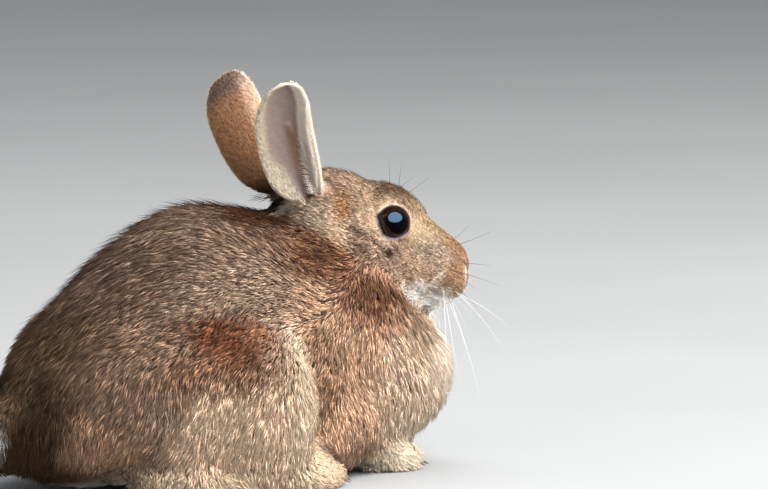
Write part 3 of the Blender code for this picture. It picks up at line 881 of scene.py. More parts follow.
def markings(points, normals):
    """The colour of skin and coat at points, as light, with painted shade in folds and
    hollows, painted light on the back and a painted highlight on the nose.
    """
    local = HEAD.inside(points)
    on_body = lay_marks(np.tile(BODY_BASE, (len(points), 1)), points, BODY_MARKS)
    on_head = lay_marks(np.tile(HEAD_BASE, (len(points), 1)), local, HEAD_MARKS)
    halves = folded(local)
    # Painted shade under the eye, a painted highlight down the nose's edge and painted shade
    # in the nostril's slit
    lines = {"dark_line": 0.8 * side_line(halves, UNDER_EYE_SHADE, 0.95, (12.0, 15.0)),
             "nose_edge": 0.85 * near_path(halves, NOSE_HIGHLIGHT, 1.6),
             "nostril": 0.95 * near_path(halves, FACE_FOLDS["nostril"][0], 1.0)}
    for name, share in lines.items():
        on_head = mingle(on_head, tone(*LINE_TONES[name]), share)
    for _, around, beside, height in round_eyes(points):
        wide = 1.4 + 1.3 * np.cos(around) ** 2 + 0.25 * ripple(points, 4.0)
        ring = fade(wide - 0.6, wide + 0.8, beside)
        ring = ring * fade(3.2, 5.2, np.abs(height))
        on_head = mingle(on_head, tone(*LINE_TONES["eye_ring"]), 0.9 * ring)
    colours = mingle(on_body, on_head, head_share(points))
    # Painted shade along the crease where the jaw meets the neck
    crease = 0.7 * side_line(folded(points), JAW_CREASE_SHADE, 1.7, (14.0, 18.0))
    colours = mingle(colours, tone(*LINE_TONES["jaw_crease_shade"]), crease)
    for name, share in ear_shares(points).items():
        colours = mingle(colours, ear_colours(points, normals, name), share)
    return colours


# ---------------------------------------------------------------- the coat

TUFT_SIDES = 3                 # corners of a tuft's ring
TUFT_POINTS = TUFT_SIDES + 2
ATLAS = 480.0                  # millimetres of skin across the unwrap's square
CHARTS = {                     # the skin seen along each axis: columns, corner
    (1, 1): ((0, 2), (118, 5)), (1, -1): ((0, 2), (118, 180)),
    (2, 1): ((0, 1), (118, 415)), (2, -1): ((0, 1), (355, 415)),
    (0, 1): ((1, 2), (300, 5)), (0, -1): ((1, 2), (300, 180)),
}
PATCH = 0.003                  # a tuft's own place on the unwrap
COAT_FLOOR = 0.1               # the coat's lowest level


def atlas_places(points, normals):
    """Where points lie on the skin's unwrap, which has a chart for each way it faces."""
    ways = np.argmax(np.abs(normals), axis=1)
    signs = np.where(normals[np.arange(len(ways)), ways] < 0.0, -1, 1)
    places = np.zeros((len(points), 2))
    for (way, sign), (columns, corner) in CHARTS.items():
        chosen = (ways == way) & (signs == sign)
        places[chosen] = points[chosen][:, columns] * 0.98 + corner
    for k, (name, ear) in enumerate(EARS.items()):
        local = ear.inside(points)
        chosen = ear_shares(points)[name] > 0.5
        inner = ear.turned_in(normals)[:, 1] > 0.0
        corner = np.where(inner, 0, 1)[:, None] * (0, 75) + (415, 20 + 160 * k)
        places[chosen] = (local[:, (0, 2)] + corner)[chosen]
    return np.clip(places / ATLAS, 0.002, 0.998)


def sample_skin(skin, weights, count):
    """Places on the skin in proportion to each triangle's weight, spread evenly."""
    share = np.cumsum(weights)
    picks = (np.arange(count) + random.uniform(size=count)) / count * share[-1]
    chosen = np.minimum(np.searchsorted(share, picks), len(weights) - 1)
    a, b = random.uniform(size=(2, count))
    a, b = np.where(a + b > 1.0, 1.0 - a, a), np.where(a + b > 1.0, 1.0 - b, b)
    corners = skin["triangles"][chosen]
    weights3 = np.stack((1.0 - a - b, a, b), axis=1)[..., None]
    points = np.sum(skin["verts"][corners] * weights3, axis=1)
    normals = unit(np.sum(skin["normals"][corners] * weights3, axis=1))
    return points, normals


def paint(mesh, colours):
    """Colours of the points, as the layer that the materials read."""
    rgba = np.ones((len(colours), 4), dtype=np.float32)
    rgba[:, :3] = colours
    layer = mesh.color_attributes.new("Coat", "FLOAT_COLOR", "POINT")
    layer.data.foreach_set("color", rgba.ravel())


def flat_to(vectors, normals):
    return vectors - normals * np.sum(vectors * normals, axis=1, keepdims=True)


def tuft_object(name, coat, material):
    """A mesh of tufts from their roots, bends, tips and widths."""
    count = len(coat["root"])
    ring = np.linspace(0.0, 2.0 * np.pi, TUFT_SIDES, endpoint=False) + 0.5
    side, rise, width = coat["side"], coat["rise"], coat["width"]
    verts = np.empty((count, TUFT_POINTS, 3))
    verts[:, 0], verts[:, 4] = coat["root"], coat["tip"]
    for k, angle in enumerate(ring):
        spoke = side * math.cos(angle) + rise * 0.6 * math.sin(angle)
        verts[:, 1 + k] = coat["bend"] + spoke * 0.5 * width[:, None]
    verts[:, :, 2] = np.maximum(verts[:, :, 2], COAT_FLOOR)
    pattern = np.array(((0, 2, 1), (0, 3, 2), (0, 1, 3), (4, 1, 2), (4, 2, 3), (4, 3, 1)))
    faces = (np.arange(count)[:, None, None] * TUFT_POINTS + pattern).reshape(-1, 3)
    item = make_object(name, verts.reshape(-1, 3), faces)
    mesh = item.data

    paint(mesh, np.repeat(coat["colour"], TUFT_POINTS, axis=0))
    start = coat["start"][:, None]
    along = start + (1.0 - start) * np.array((0.0, 0.45, 0.45, 0.45, 1.0))
    ticking = np.repeat(coat["ticking"], TUFT_POINTS)
    for layer_name, values in (("Along", along), ("Ticking", ticking)):
        layer = mesh.attributes.new(layer_name, "FLOAT", "POINT")
        layer.data.foreach_set("value", values.astype(np.float32).ravel())

    spread = np.array(((0.5, 0.0), (0.0, 0.45), (1.0, 0.45), (0.5, 0.55), (0.5, 1.0))) - 0.5
    places = atlas_places(coat["root"], coat["rise"])
    uv = places[:, None] + PATCH * spread
    layer = mesh.uv_layers.new(name="OFBake")
    layer.data.foreach_set("uv", uv[:, pattern.ravel()].astype(np.float32).ravel())
    mesh.materials.append(material)
    return item


SWAY, SWAY_LENGTH = 13.0, 16.0       # degrees and millimetres: how the lie wanders
CLUMP_SWING, LIFT_SPREAD = 9.0, 4.0  # degrees: how single clumps and tufts differ
TUFT_YAW = 0.10
ROOT_DEPTH = 0.25              # how deep a tuft's root lies, as a share of its width
TICKED_SHARE = 0.33            # clumps whose tips are dark


def grow(skin, weights, clumps, each, finish, spread, closeness=0.65, shade=0.24):
    """Tufts in small clumps whose tips draw together.
    """
    points, normals = sample_skin(skin, weights, clumps)
    comb, length, lift, width, colour, ticking = finish(points, normals)
    comb = unit(flat_to(comb, normals))
    swing = SWAY * ripple(points, SWAY_LENGTH) + random.normal(0.0, CLUMP_SWING, clumps)
    swing = np.radians(swing)
    side = np.cross(normals, comb)
    comb = comb * np.cos(swing)[:, None] + side * np.sin(swing)[:, None]
    side = np.cross(normals, comb)

    def spread_out(values):
        return np.repeat(values, each, axis=0)

    count = clumps * each
    length = spread_out(length) * random.uniform(0.75, 1.12, count)
    width = spread_out(width) * random.uniform(0.75, 1.25, count)
    lift = np.radians(spread_out(lift + random.normal(0.0, LIFT_SPREAD, clumps))
                      + random.normal(0.0, LIFT_SPREAD, count))
    radius = spread * np.sqrt(random.uniform(size=count))
    turned = random.uniform(0.0, 2.0 * np.pi, count)
    comb, side, rise = spread_out(comb), spread_out(side), spread_out(normals)
    ahead = (radius * np.cos(turned) * 1.5)[:, None] * comb
    beside = (radius * np.sin(turned))[:, None] * side
    yaw = random.normal(0.0, TUFT_YAW, count)[:, None]
    way = unit(comb + side * yaw)
    root = spread_out(points) + ahead + beside - rise * (ROOT_DEPTH * width)[:, None]
    low = np.cos(lift)[:, None] * way + np.sin(lift)[:, None] * rise
    late = lift * OUTER_LIFT
    high = np.cos(late)[:, None] * way + np.sin(late)[:, None] * rise
    bend = root + low * (BEND_AT * length)[:, None] - beside * 0.3 * closeness
    tip = bend + high * ((1.0 - BEND_AT) * length)[:, None] - beside * 0.7 * closeness
    glow = np.exp(random.normal(0.0, shade, clumps))
    glow = spread_out(glow) * np.exp(random.normal(0.0, shade * 0.7, count))
    colour = spread_out(colour)
    white = ramp(0.55, 0.9, luminance(colour))       # white hair varies little
    colour = colour * between(glow, 1.0 + 0.25 * (glow - 1.0), white)[:, None]
    ticked = spread_out((random.uniform(size=clumps) < TICKED_SHARE) * 1.0)
    ticking = spread_out(ticking) * (0.12 + ticked) * random.uniform(0.4, 1.3, count)
    ticking = np.clip(ticking, 0.0, 1.0)
    # The dark foot of each tuft is grey underfur and painted shade deep in the coat; short
    # and white hair get less of it
    start = 0.5 - 0.34 * ramp(1.5, 7.0, length)      # short hair is less dark at its foot
    start = np.maximum(start, 0.55 * ramp(0.55, 0.8, luminance(colour)))
    return dict(root=root, bend=bend, tip=tip, side=side, rise=rise, width=width,
                colour=colour, ticking=ticking, start=start)


BODY_CLUMPS, BODY_EACH = 26000, 6
HEAD_CLUMPS, HEAD_EACH = 21500, 3
EAR_CLUMPS, EAR_EACH = 3400, 3
FRINGE_HAIRS, GUARD_HAIRS, WISPS = 2600, 3600, 160
CROWN_GUARD = 2.5              # how much closer the dark hairs stand on the crown
SLABS = (-58.0, -18.0, 24.0)   # where the body's coat is divided into pieces, along X


def luminance(colours):
    return colours @ (0.21, 0.72, 0.07)


def hair_width(length):
    return 0.16 + 0.033 * length


def plain_finish(points, normals):
    lie = lie_of_coat(points)
    colour = markings(points, normals)
    ticking = fade(0.22, 0.62, luminance(colour))
    return lie[:, :3], lie[:, 3], lie[:, 4], hair_width(lie[:, 3]), colour, ticking


def head_finish(points, normals):
    comb, length, lift, width, colour, ticking = plain_finish(points, normals)
    for eye, _, beside, height in round_eyes(points):
        away = unit(flat_to(points - eye.origin, normals))
        closing = np.minimum(0.0, np.sum(unit(comb) * away, axis=1))
        near = fade(2.0, 6.0, beside) * fade(3.0, 7.0, height)
        comb = unit(comb) - away * (closing * near * 1.4)[:, None]
        length = length * (1.0 - 0.35 * near)
    return comb, length, lift, width, colour, ticking


def ear_finish(name):
    """Hair that leaves an ear's middle line, short at the rim and flat inside."""
    def finish(points, normals):
        ear = EARS[name]
        u, v, _ = ear_places(points, ear)
        inner = ramp(-0.1, 0.2, ear.turned_in(normals)[:, 1])
        none = np.zeros(len(points))
        out = np.column_stack((0.35 * v, none, none + 1.0))
        within = np.column_stack((np.where(v < ear_band(u), -0.55, 0.5), none, none + 0.8))
        comb = ear.turned_out(mingle(out, within, inner))
        rim = np.maximum(ramp(0.85, 0.97, np.abs(v)), ramp(0.95, 0.99, u))
        length = between(2.5 - 0.9 * u, 2.0, inner)
        length = length + 2.6 * fade(0.0, 0.22, u) * (1.0 - inner)
        length = between(length, 1.15, rim)
        lift = between(13.0, 3.5, inner) + 7.0 * rim
        colour = markings(points, normals)
        ticking = 0.4 * (1.0 - inner) * fade(0.2, 0.5, luminance(colour))
        width = between(0.15 + 0.035 * length, 0.24, inner * (1.0 - rim))
        # Painted light: the hair inside is lightened so that its own shade doesn't show
        # against the bare skin
        colour = colour * between(1.1, 1.3, inner)[:, None]
        return comb, length, lift, width, colour, ticking
    return finish


def even_finish(points, comb, colour):
    """One comb direction, one colour and no ticking for all the points."""
    count = len(points)
    return np.tile(comb, (count, 1)), np.tile(tone(*colour), (count, 1)), np.zeros(count)


def fringe_finish(name):
    """The pale hairs that bend in over an ear's opening from its front rim."""
    def finish(points, normals):
        ear = EARS[name]
        u, _, _ = ear_places(points, ear)
        comb, colour, none = even_finish(points, (-0.75, 0.25, 0.7), (242, 230, 216))
        length = 4.0 * fade(0.4, 0.85, u) + 1.3
        return ear.turned_out(comb), length, none + 17.0, none + 0.12, colour, none
    return finish


def guard_finish(points, normals):
    """Long dark hairs that stand out along the back, the nape and the crown."""
    lie = lie_of_coat(points)
    on_head = head_share(points)
    length = lie[:, 3] * 1.25 + 1.0
    lift = between(36.0, 30.0, on_head)
    width = between(0.30, 0.17, on_head)
    _, colour, none = even_finish(points, (0.0, 0.0, 0.0), (58, 38, 27))
    return lie[:, :3], length, lift, width, colour, none


def wisp_finish(points, normals):
    """Long pale hairs that stand loose of the breast."""
    comb, colour, none = even_finish(points, (0.75, 0.0, -0.6), (214, 196, 174))
    return comb, none + 13.0, none + 30.0, none + 0.2, colour, none


def skin_arrays(item):
    skin = {"verts": read_verts(item), "normals": read_normals(item),
            "triangles": read_triangles(item)}
    corners = skin["verts"][skin["triangles"]]
    cross = np.cross(corners[:, 1] - corners[:, 0], corners[:, 2] - corners[:, 0])
    skin["areas"] = 0.5 * np.linalg.norm(cross, axis=1)
    skin["middles"] = corners.mean(axis=1)
    skin["facing"] = unit(cross)
    return skin


BARE_NOSTRIL = 1.3             # millimetres round the nostril's fold that bear no hair
BARE_LID = 0.8                 # and from the edge of the lids


def furred(skin):
    """The share of each triangle that bears hair: none in the eyes or the nostrils."""
    middles = skin["middles"]
    bearing = np.ones(len(middles))
    for _, _, beside, height in round_eyes(middles):
        bearing *= ~((beside < BARE_LID) & (height < 2.0 * BARE_LID))
    nostril = FACE_FOLDS["nostril"][0]
    return bearing * (1.0 - near_path(folded(HEAD.inside(middles)), nostril, BARE_NOSTRIL))


def merge(*coats):
    return {key: np.concatenate([coat[key] for coat in coats]) for key in coats[0]}


def pick(coat, chosen):
    return {key: values[chosen] for key, values in coat.items()}


def grow_long_hairs(skin, head, off_ears):
    """Dark hairs along the top of the body and head, and pale ones before the breast."""
    middles = skin["middles"]
    local = HEAD.inside(middles)
    crown = ramp(6.0, 10.0, local[:, 2]) * fade(18.0, 26.0, local[:, 0])
    topmost = ramp(58.0, 100.0, middles[:, 2]) * (1.0 - head)
    topmost += CROWN_GUARD * head * crown
    guard = grow(skin, skin["areas"] * off_ears * topmost, GUARD_HAIRS, 1, guard_finish, 0.1)
    breast = ramp(80.0, 92.0, middles[:, 0]) * ramp(24.0, 34.0, middles[:, 2])
    breast *= (1.0 - head) * ramp(0.2, 0.5, skin["facing"][:, 0])
    return merge(guard, grow(skin, skin["areas"] * breast, WISPS, 1, wisp_finish, 0.1))


def grow_ear_coat(skin, name, on_ear):
    """An ear's short coat, bare in the opening, and the fringe along its front rim."""
    u, v, _ = ear_places(skin["middles"], EARS[name])
    inner = ramp(-0.1, 0.2, EARS[name].turned_in(skin["facing"])[:, 1])
    bare = inner * ramp(-0.1, 0.2, v - ear_band(u)) * fade(0.75, 0.9, np.abs(v))
    bare = bare * ramp(0.02, 0.08, u)
    weight = skin["areas"] * on_ear * (1.0 - np.minimum(bare * 1.1, 1.0))
    weight = weight * (1.0 + 1.5 * inner + 1.5 * fade(0.0, 0.1, u))
    coat = grow(skin, weight, EAR_CLUMPS, EAR_EACH, ear_finish(name), 0.4, 0.4, 0.14)
    margin = ramp(0.62, 0.72, v) * (v < 0.97) * (u < 0.85) * (u > 0.05) * (inner > 0.3)
    fringe = grow(skin, skin["areas"] * on_ear * margin, FRINGE_HAIRS, 1,
                  fringe_finish(name), 0.1)
    return merge(coat, fringe)


def grow_coat(item, material):
    """The whole coat, as named pieces of under 200,000 triangles."""
    skin = skin_arrays(item)
    middles = skin["middles"]
    head, on_ears = head_share(middles), ear_shares(middles)
    off_ears = 1.0 - np.clip(on_ears["left"] + on_ears["right"], 0.0, 1.0)
    bearing = furred(skin) * skin["areas"] * lie_of_coat(middles)[:, 5] * off_ears

    pieces = {"coat_guard": grow_long_hairs(skin, head, off_ears)}
    coat = grow(skin, bearing * (1.0 - head), BODY_CLUMPS, BODY_EACH, plain_finish, 1.15,
                shade=0.16)
    slab = np.searchsorted(SLABS, coat["root"][:, 0])
    for k in range(len(SLABS) + 1):
        for name, side in SIDES:
            chosen = (slab == k) & (coat["root"][:, 1] * side > 0.0)
            pieces[f"coat_body_{name}_{k + 1}"] = pick(coat, chosen)
    coat = grow(skin, bearing * head, HEAD_CLUMPS, HEAD_EACH, head_finish, 0.45, 0.5)
    for name, side in SIDES:
        chosen = HEAD.inside(coat["root"])[:, 1] * side > 0.0
        pieces["coat_head_" + name] = pick(coat, chosen)
    for name, _ in SIDES:
        pieces["coat_ear_" + name] = grow_ear_coat(skin, name, on_ears[name])
    return {name: tuft_object(name, coat, material) for name, coat in pieces.items()}


# ---------------------------------------------------------------- materials

def new_material(name, roughness, specular=0.3, sheen=0.0):
    material = bpy.data.materials.new(name)
    material.use_nodes = True
    shader = material.node_tree.nodes["Principled BSDF"]
    for key, value in (("Roughness", roughness), ("Specular IOR Level", specular),
                       ("Sheen Weight", sheen), ("Sheen Roughness", 0.5)):
        shader.inputs[key].default_value = value
    return material, material.node_tree, shader


def link(tree, source, target):
    """Join a socket to a source, which may be a plain value."""
    if isinstance(source, (int, float, tuple)):
        target.default_value = source
    else:
        tree.links.new(source, target)


def add_node(tree, kind, inputs=(), **values):
    """A node with its settings, and with its inputs joined by name or number."""
    node = tree.nodes.new(kind)
    for key, value in values.items():
        setattr(node, key, value)
    for key, source in dict(inputs).items():
        link(tree, source, node.inputs[key])
    return node


def attribute(tree, name, output="Fac"):
    return add_node(tree, "ShaderNodeAttribute", attribute_name=name).outputs[output]


def colour_ramp(tree, source, stops):
    """A blend through stops, each a place and a colour or a grey."""
    node = add_node(tree, "ShaderNodeValToRGB", {"Fac": source})
    elements = node.color_ramp.elements
    while len(elements) < len(stops):
        elements.new(0.5)
    for element, (place, colour) in zip(elements, stops):
        element.position = place
        element.color = (*np.broadcast_to(colour, 3), 1.0)
    return node.outputs["Color"]


def mix(tree, kind, share, a, b):
    node = add_node(tree, "ShaderNodeMix", data_type="RGBA", blend_type=kind)
    for socket, value in ((0, share), (6, a), (7, b)):      # its factor and two colours
        link(tree, value, node.inputs[socket])
    return node.outputs[2]


def multiply(tree, a, b):
    node = add_node(tree, "ShaderNodeMath", {0: a, 1: b}, operation="MULTIPLY")
    return node.outputs[0]


def noise(tree, scale, detail=3.0, stretch=None):
    coords = add_node(tree, "ShaderNodeTexCoord").outputs["Object"]
    if stretch is not None:
        mapping = add_node(tree, "ShaderNodeMapping", {"Scale": stretch, "Vector": coords})
        coords = mapping.outputs["Vector"]
    inputs = {"Scale": scale, "Detail": detail, "Roughness": 0.55, "Vector": coords}
    return add_node(tree, "ShaderNodeTexNoise", inputs).outputs["Fac"]


def mottled(tree, base, grain):
    """A colour made darker and lighter by a grain of greys."""
    return mix(tree, "MULTIPLY", 1.0, base, grain)


def fur_material():
    """Hair: dark at its foot, from grey underfur and painted shade deep in the coat, its own
    colour beyond, and a dark tip where it is ticked.
    """
    material, tree, shader = new_material("fur", 0.62, 0.05)
    along = attribute(tree, "Along")
    # Painted shade deep in the coat, with the grey underfur: each tuft is darker towards its
    # foot
    foot = colour_ramp(tree, along, ((0.0, 0.45), (0.3, 0.7), (0.55, 1.0), (1.0, 1.12)))
    colour = mottled(tree, attribute(tree, "Coat", "Color"), foot)
    colour = mottled(tree, colour, colour_ramp(tree, noise(tree, 420.0),
                                               ((0.3, 0.9), (0.7, 1.12))))
    tip = colour_ramp(tree, along, ((0.62, 0.0), (0.95, 1.0)))
    ticked = multiply(tree, tip, attribute(tree, "Ticking"))
    colour = mix(tree, "MIX", ticked, colour, (0.045, 0.024, 0.014, 1.0))
    link(tree, colour, shader.inputs["Base Color"])
    return material


def skin_material():
    """The hide under the hair, with fine streaks like short hair."""
    material, tree, shader = new_material("hide", 0.7, 0.3, 0.1)
    streak = noise(tree, 900.0, 4.0, (0.35, 1.0, 1.0))
    grain = colour_ramp(tree, streak, ((0.32, 0.86), (0.5, 1.0), (0.72, 1.12)))
    colour = mottled(tree, attribute(tree, "Coat", "Color"), grain)
    link(tree, colour, shader.inputs["Base Color"])
    inputs = {"Strength": 0.5, "Distance": 0.0004, "Height": streak}
    bump = add_node(tree, "ShaderNodeBump", inputs)
    link(tree, bump.outputs["Normal"], shader.inputs["Normal"])
    return material


PUPIL = (0.002, 0.002, 0.003)
IRIS = ((0.0, PUPIL), (0.36, PUPIL), (0.43, (0.006, 0.003, 0.002)),
        (0.58, (0.014, 0.006, 0.004)), (0.68, (0.008, 0.004, 0.003)),
        (0.76, (0.003, 0.002, 0.002)))     # by distance from the gaze, in centimetres


def eye_material():
    """A dark brown iris with fine rays round a wide black pupil."""
    material, tree, shader = new_material("eye_glass", 0.07, 0.5)
    shader.inputs["Specular Tint"].default_value = (0.72, 0.86, 1.0, 1.0)
    coords = add_node(tree, "ShaderNodeTexCoord").outputs["Object"]
    split = add_node(tree, "ShaderNodeSeparateXYZ", {0: coords}).outputs
    flat = add_node(tree, "ShaderNodeCombineXYZ", {"X": split["X"], "Y": split["Y"]})
    reach = add_node(tree, "ShaderNodeVectorMath", {0: flat.outputs[0]},
                     operation="LENGTH")
    rings = colour_ramp(tree, multiply(tree, reach.outputs["Value"], 100.0), IRIS)
    rays = noise(tree, 700.0, 4.0, (1.0, 1.0, 0.2))
    rays = colour_ramp(tree, rays, ((0.3, 0.6), (0.7, 1.5)))
    link(tree, mottled(tree, rings, rays), shader.inputs["Base Color"])
    return material


def grained(name, roughness, specular, grain, lights, tint):
    """A material of one tint, whose brightness wanders between two values."""
    material, tree, shader = new_material(name, roughness, specular)
    shade = colour_ramp(tree, noise(tree, *grain), tuple(zip((0.3, 0.7), lights)))
    colour = mottled(tree, shade, (*tint, 1.0))
    link(tree, colour, shader.inputs["Base Color"])
    return material


def horn_material():
    return grained("horn", 0.4, 0.4, (600.0, 3.0, (1.0, 1.0, 0.2)), (0.05, 0.16),
                   (0.9, 0.7, 0.55))


def whisker_material(name, light):
    return grained(name, 0.45, 0.4, (60.0, 2.0), (0.8 * light, light), (1.0, 0.96, 0.9))


def floor_material():
    material, tree, shader = new_material("pale_floor", 0.8, 0.2)
    shade = colour_ramp(tree, noise(tree, 3.0, 2.0), ((0.3, 0.33), (0.7, 0.35)))
    link(tree, shade, shader.inputs["Base Color"])
    return material


# ---------------------------------------------------------------- eyes, whiskers, claws

CORNEA_BULGE = 0.045


def eyeball(name, side, material):
    """A ball with a cornea that stands a little proud, its Z along the gaze."""
    eye = eye_frame(name, side, 0.0)
    bm = bmesh.new()
    bmesh.ops.create_uvsphere(bm, u_segments=64, v_segments=40, radius=1.0)
    for vert in bm.verts:
        off = math.degrees(math.acos(max(-1.0, min(1.0, vert.co.z))))
        bulge = CORNEA_BULGE * float(fade(20.0, OPENING, off))
        vert.co *= EYE_RADIUS * (1.0 + bulge) * MM
    item = take_bmesh("eyeball_" + name, bm)
    item.data.shade_smooth()
    item.data.materials.append(material)
    axes = eye.axes
    if np.linalg.det(axes) < 0.0:
        axes = axes * (-1.0, 1.0, 1.0)
    place = Matrix([list(row) for row in axes]).to_4x4()
    place.translation = Vector(eye.origin * MM)
    item.matrix_world = place
    return item


# Where each starts in the head's frame, its way, its length, how far it droops
DARK_WHISKERS = (
    ((0, 6, 13.5), (-0.33, 0.06, 0.94), 14, -1), ((4, 8, 14), (0.44, 0.20, 0.87), 13, 1),
    ((34, 6, 3), (0.62, 0.60, 0.60), 19, -2), ((39, 7.5, -3), (0.75, 0.66, 0.30), 15, 0),
    ((35, 10, -8), (0.5, 1.0, 0.1), 30, 2), ((38, 9.5, -9), (0.7, 0.9, -0.05), 13, 1),
    ((34, 10, -12), (0.45, 1.0, -0.2), 34, 4),
)
PALE_WHISKERS = (
    ((38, 8, -17), (0.56, 0.40, -0.73), 40, 8), ((37, 7, -18), (0.51, 0.41, -0.75), 36, 6),
    ((39, 9, -15), (0.80, 0.53, -0.28), 30, 8), ((40, 8, -16), (0.80, 0.59, -0.05), 27, 6),
    ((35, 9, -16), (0.10, 0.80, -0.60), 40, 8), ((36, 8, -17), (0.62, 0.44, -0.60), 31, 6),
)
FARTHEST_AHEAD = 127.0         # no whisker reaches beyond this, along X
WHISKER_SIDES, WHISKER_STEPS = 5, 14
WHISKER_JITTER = 0.06


def add_spike(verts, faces, path, radii, sides):
    """A closed round spike along a path, added to lists of vertices and faces."""
    ahead = unit(np.gradient(path, axis=0))
    across = unit(np.cross(ahead, (0.0, 0.3, 1.0)))
    rise = np.cross(across, ahead)
    first, steps = len(verts), len(path)
    for middle, radius, x_way, y_way in zip(path, radii, across, rise):
        for j in range(sides):
            angle = 2.0 * math.pi * j / sides
            spoke = x_way * math.cos(angle) + y_way * math.sin(angle)
            verts.append(middle + radius * spoke)
    verts += [path[0], path[-1]]
    last, foot = first + (steps - 1) * sides, first + steps * sides
    for j in range(sides):
        m = (j + 1) % sides
        for k in range(steps - 1):
            a, b = first + k * sides, first + (k + 1) * sides
            faces += [(a + j, b + m, b + j), (a + j, a + m, b + m)]
        faces += [(foot, first + m, first + j), (foot + 1, last + j, last + m)]


def spikes(name, verts, faces, material):
    """An object of the spikes that add_spike gathered."""
    item = make_object(name, np.array(verts), np.array(faces, dtype=np.int32))
    item.data.materials.append(material)
    return item


def whiskers(name, rows, thickness, material):
    """Thin tapered hairs in one mesh, on both sides of the face."""
    verts, faces = [], []
    share = np.linspace(0.0, 1.0, WHISKER_STEPS)
    for start, way, length, droop in rows:
        for _, side in SIDES:
            mirror = (1.0, side, 1.0)
            jitter = random.normal(0.0, WHISKER_JITTER, 3)
            way_out = unit(HEAD.turned_out(unit(way) * mirror + jitter))
            root = HEAD.outside(np.array(start) * mirror) - way_out
            reach = length * (1.0 if side < 0.0 else random.uniform(0.85, 1.1))
            reach = min(reach, (FARTHEST_AHEAD - root[0]) / max(way_out[0], 0.01))
            path = root + way_out * (reach * share)[:, None]
            path[:, 2] = np.maximum(path[:, 2] - droop * share ** 2, 1.0)
            add_spike(verts, faces, path, thickness * (1.0 - 0.85 * share), WHISKER_SIDES)
    return spikes(name, verts, faces, material)


# Where the toes of a foot lie: their reach along X, their places beside the middle
TOES = {"fore": ((74.0, 96.0), (10.3, 14.1, 17.9, 21.4)),
        "hind": ((22.0, 46.0), (35.9, 40.6, 45.4, 50.0))}
TOE_TOP, TOE_HALF_WIDTH = 7.0, 1.3      # what of the skin counts as one toe
CLAW_STEPS, CLAW_SIDES = 7, 8
CLAW_LENGTH, CLAW_SUNK = 4.8, 1.6       # whole length, and what of it lies in the toe
CLAW_LEVELS = (2.4, 3.6)                # lowest and highest root of a claw
CLAW_DROP, CLAW_SPREAD = 1.7, 0.25      # how far its tip lies down and outward
CLAW_RADIUS, CLAW_TIP = 0.7, 0.07


def claws(skin, material):
    """Small dark claws, one at the front of each toe, half covered by hair."""
    points = read_verts(skin)
    verts, faces = [], []
    share = np.linspace(0.0, 1.0, CLAW_STEPS)
    for (start, end), places in TOES.values():
        near = (points[:, 0] > start) & (points[:, 0] < end)
        low = points[near & (points[:, 2] < TOE_TOP)]
        for _, side in SIDES:
            for place in places:
                toe = low[np.abs(low[:, 1] - side * place) < TOE_HALF_WIDTH]
                tip = toe[np.argmax(toe[:, 0])]
                level = min(max(tip[2], CLAW_LEVELS[0]), CLAW_LEVELS[1])
                path = np.stack((tip[0] - CLAW_SUNK + CLAW_LENGTH * share,
                                 tip[1] + CLAW_SPREAD * side * share,
                                 level - CLAW_DROP * share ** 2), axis=1)
                radii = CLAW_RADIUS * (1.0 - share ** 1.6) + CLAW_TIP
                add_spike(verts, faces, path, radii, CLAW_SIDES)
    return spikes("claws", verts, faces, material)


# ---------------------------------------------------------------- stage and camera

CAMERA_AZIMUTH, CAMERA_RISE = -28.0, 6.0
CAMERA_REACH = 2400.0
CAMERA_TARGET = (79.27, 0.03, 94.9)
CAMERA_LENS, CAMERA_SENSOR = 264.4, 36.0
CAMERA_CLIPS = (0.05, 60.0)


def place_camera():
    azimuth, rise = math.radians(CAMERA_AZIMUTH), math.radians(CAMERA_RISE)
    back = Vector((math.sin(azimuth) * math.cos(rise), -math.cos(azimuth) * math.cos(rise),
                   math.sin(rise)))
    data = bpy.data.cameras.new("camera")
    data.lens = CAMERA_LENS
    data.sensor_width = CAMERA_SENSOR
    data.clip_start, data.clip_end = CAMERA_CLIPS
    camera = add_object("camera", data)
    camera.location = (Vector(CAMERA_TARGET) + back * CAMERA_REACH) * MM
    camera.rotation_euler = back.to_track_quat("Z", "Y").to_euler()
    bpy.context.scene.camera = camera


LIGHT_AIM = (0.03, 0.0, 0.08)
# Place in metres, width and height, power, colour, and whether only its mirror is seen
LIGHTS = {
    "key": ((0.75, -1.42, 1.55), (3.3, 2.1), 134.0, (1.0, 0.98, 0.95), False),
    "window": ((-0.25, -1.5, 1.35), (4.2, 3.0), 270.0, (0.5, 0.76, 1.0), True),
    "top": ((0.1, 0.3, 2.0), (1.6, 1.6), 24.0, (0.97, 0.98, 1.0), False),
    "fill": ((1.5, -1.0, 0.25), (1.2, 0.4), 19.0, (1.0, 0.98, 0.95), False),
}
SKY_COLOUR, SKY_STRENGTH = (0.95, 0.97, 1.0, 1.0), 0.62
FLOOR_RADIUS = 14.0            # metres


def soft_light(name, place, size, power, colour, mirrored):
    data = bpy.data.lights.new(name, "AREA")
    data.shape = "ELLIPSE"
    data.size, data.size_y = size
    data.energy = power
    data.color = colour
    lamp = add_object(name, data)
    lamp.visible_glossy = mirrored
    lamp.visible_diffuse = not mirrored
    lamp.location = place
    back = Vector(place) - Vector(LIGHT_AIM)
    lamp.rotation_euler = back.to_track_quat("Z", "Y").to_euler()


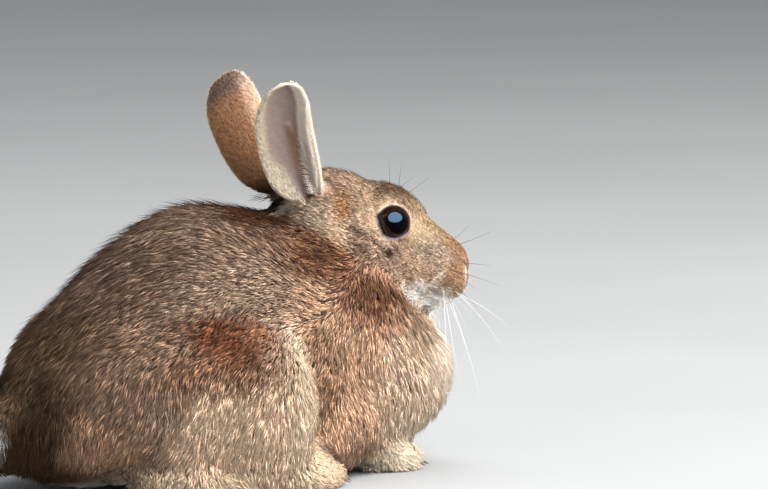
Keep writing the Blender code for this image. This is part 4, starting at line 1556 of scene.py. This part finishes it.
def set_stage():
    bm = bmesh.new()
    bmesh.ops.create_circle(bm, cap_ends=True, segments=64, radius=FLOOR_RADIUS)
    floor = take_bmesh("floor", bm)
    floor.data.materials.append(floor_material())
    floor.visible_glossy = False

    world = bpy.data.worlds.new("studio")
    world.use_nodes = True
    sky = world.node_tree.nodes["Background"]
    sky.inputs["Color"].default_value = SKY_COLOUR
    sky.inputs["Strength"].default_value = SKY_STRENGTH
    world.cycles_visibility.glossy = False
    bpy.context.scene.world = world
    for name, values in LIGHTS.items():
        soft_light(name, *values)
    view = bpy.context.scene.view_settings
    view.view_transform = "Standard"
    view.look = "None"
    view.exposure = 0.0


# ---------------------------------------------------------------- making

def paint_skin(item, material):
    verts, normals = read_verts(item), read_normals(item)
    colours = markings(verts, normals)
    lie = lie_of_coat(verts)
    on_ears = sum(ear_shares(verts).values())
    # Painted shade: the hide is darker where long hair covers it, less so under white hair
    hidden = ramp(2.5, 7.0, lie[:, 3]) * (1.0 - np.clip(on_ears, 0.0, 1.0))
    under = between(0.95, 0.5, hidden * (1.0 - 0.6 * ramp(0.5, 0.8, luminance(colours))))
    colours = colours * under[:, None]
    for _, around, beside, height in round_eyes(verts):
        close = fade(1.0, 1.6, height)
        lower = np.cos(around - math.radians(LOWER_LID))
        margin = fade(0.15, 0.5, beside) * close * (beside < 5.0)
        colours = mingle(colours, tone(*LINE_TONES["lid_margin"]), margin)
        pink = ramp(0.55, 0.85, lower) * close * ramp(0.0, 0.3, beside)
        pink = pink * fade(0.9, 1.6, beside)
        colours = mingle(colours, tone(*LINE_TONES["lower_lid"]), pink)
    paint(item.data, colours)
    item.data.materials.clear()
    item.data.materials.append(material)


WHISKERS = {                   # rows, thickness, brightness
    "whiskers_dark": (DARK_WHISKERS, 0.11, 0.05),
    "whiskers_pale": (PALE_WHISKERS, 0.14, 0.8),
}


def main():
    flesh = [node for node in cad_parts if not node.startswith("eye_")]
    skin = make_skin()
    paint_skin(skin, skin_material())
    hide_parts(*flesh)
    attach(skin, "root")

    for name, piece in grow_coat(skin, fur_material()).items():
        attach(piece, "root")

    glass = eye_material()
    for name, side in SIDES:
        ball = eyeball(name, side, glass)
        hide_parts("eye_" + name)
        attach(ball, "root")

    for name, (rows, thickness, light) in WHISKERS.items():
        hairs = whiskers(name, rows, thickness, whisker_material(name, light))
        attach(hairs, "root")

    horn = claws(skin, horn_material())
    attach(horn, "root")

    set_stage()
    place_camera()


main()
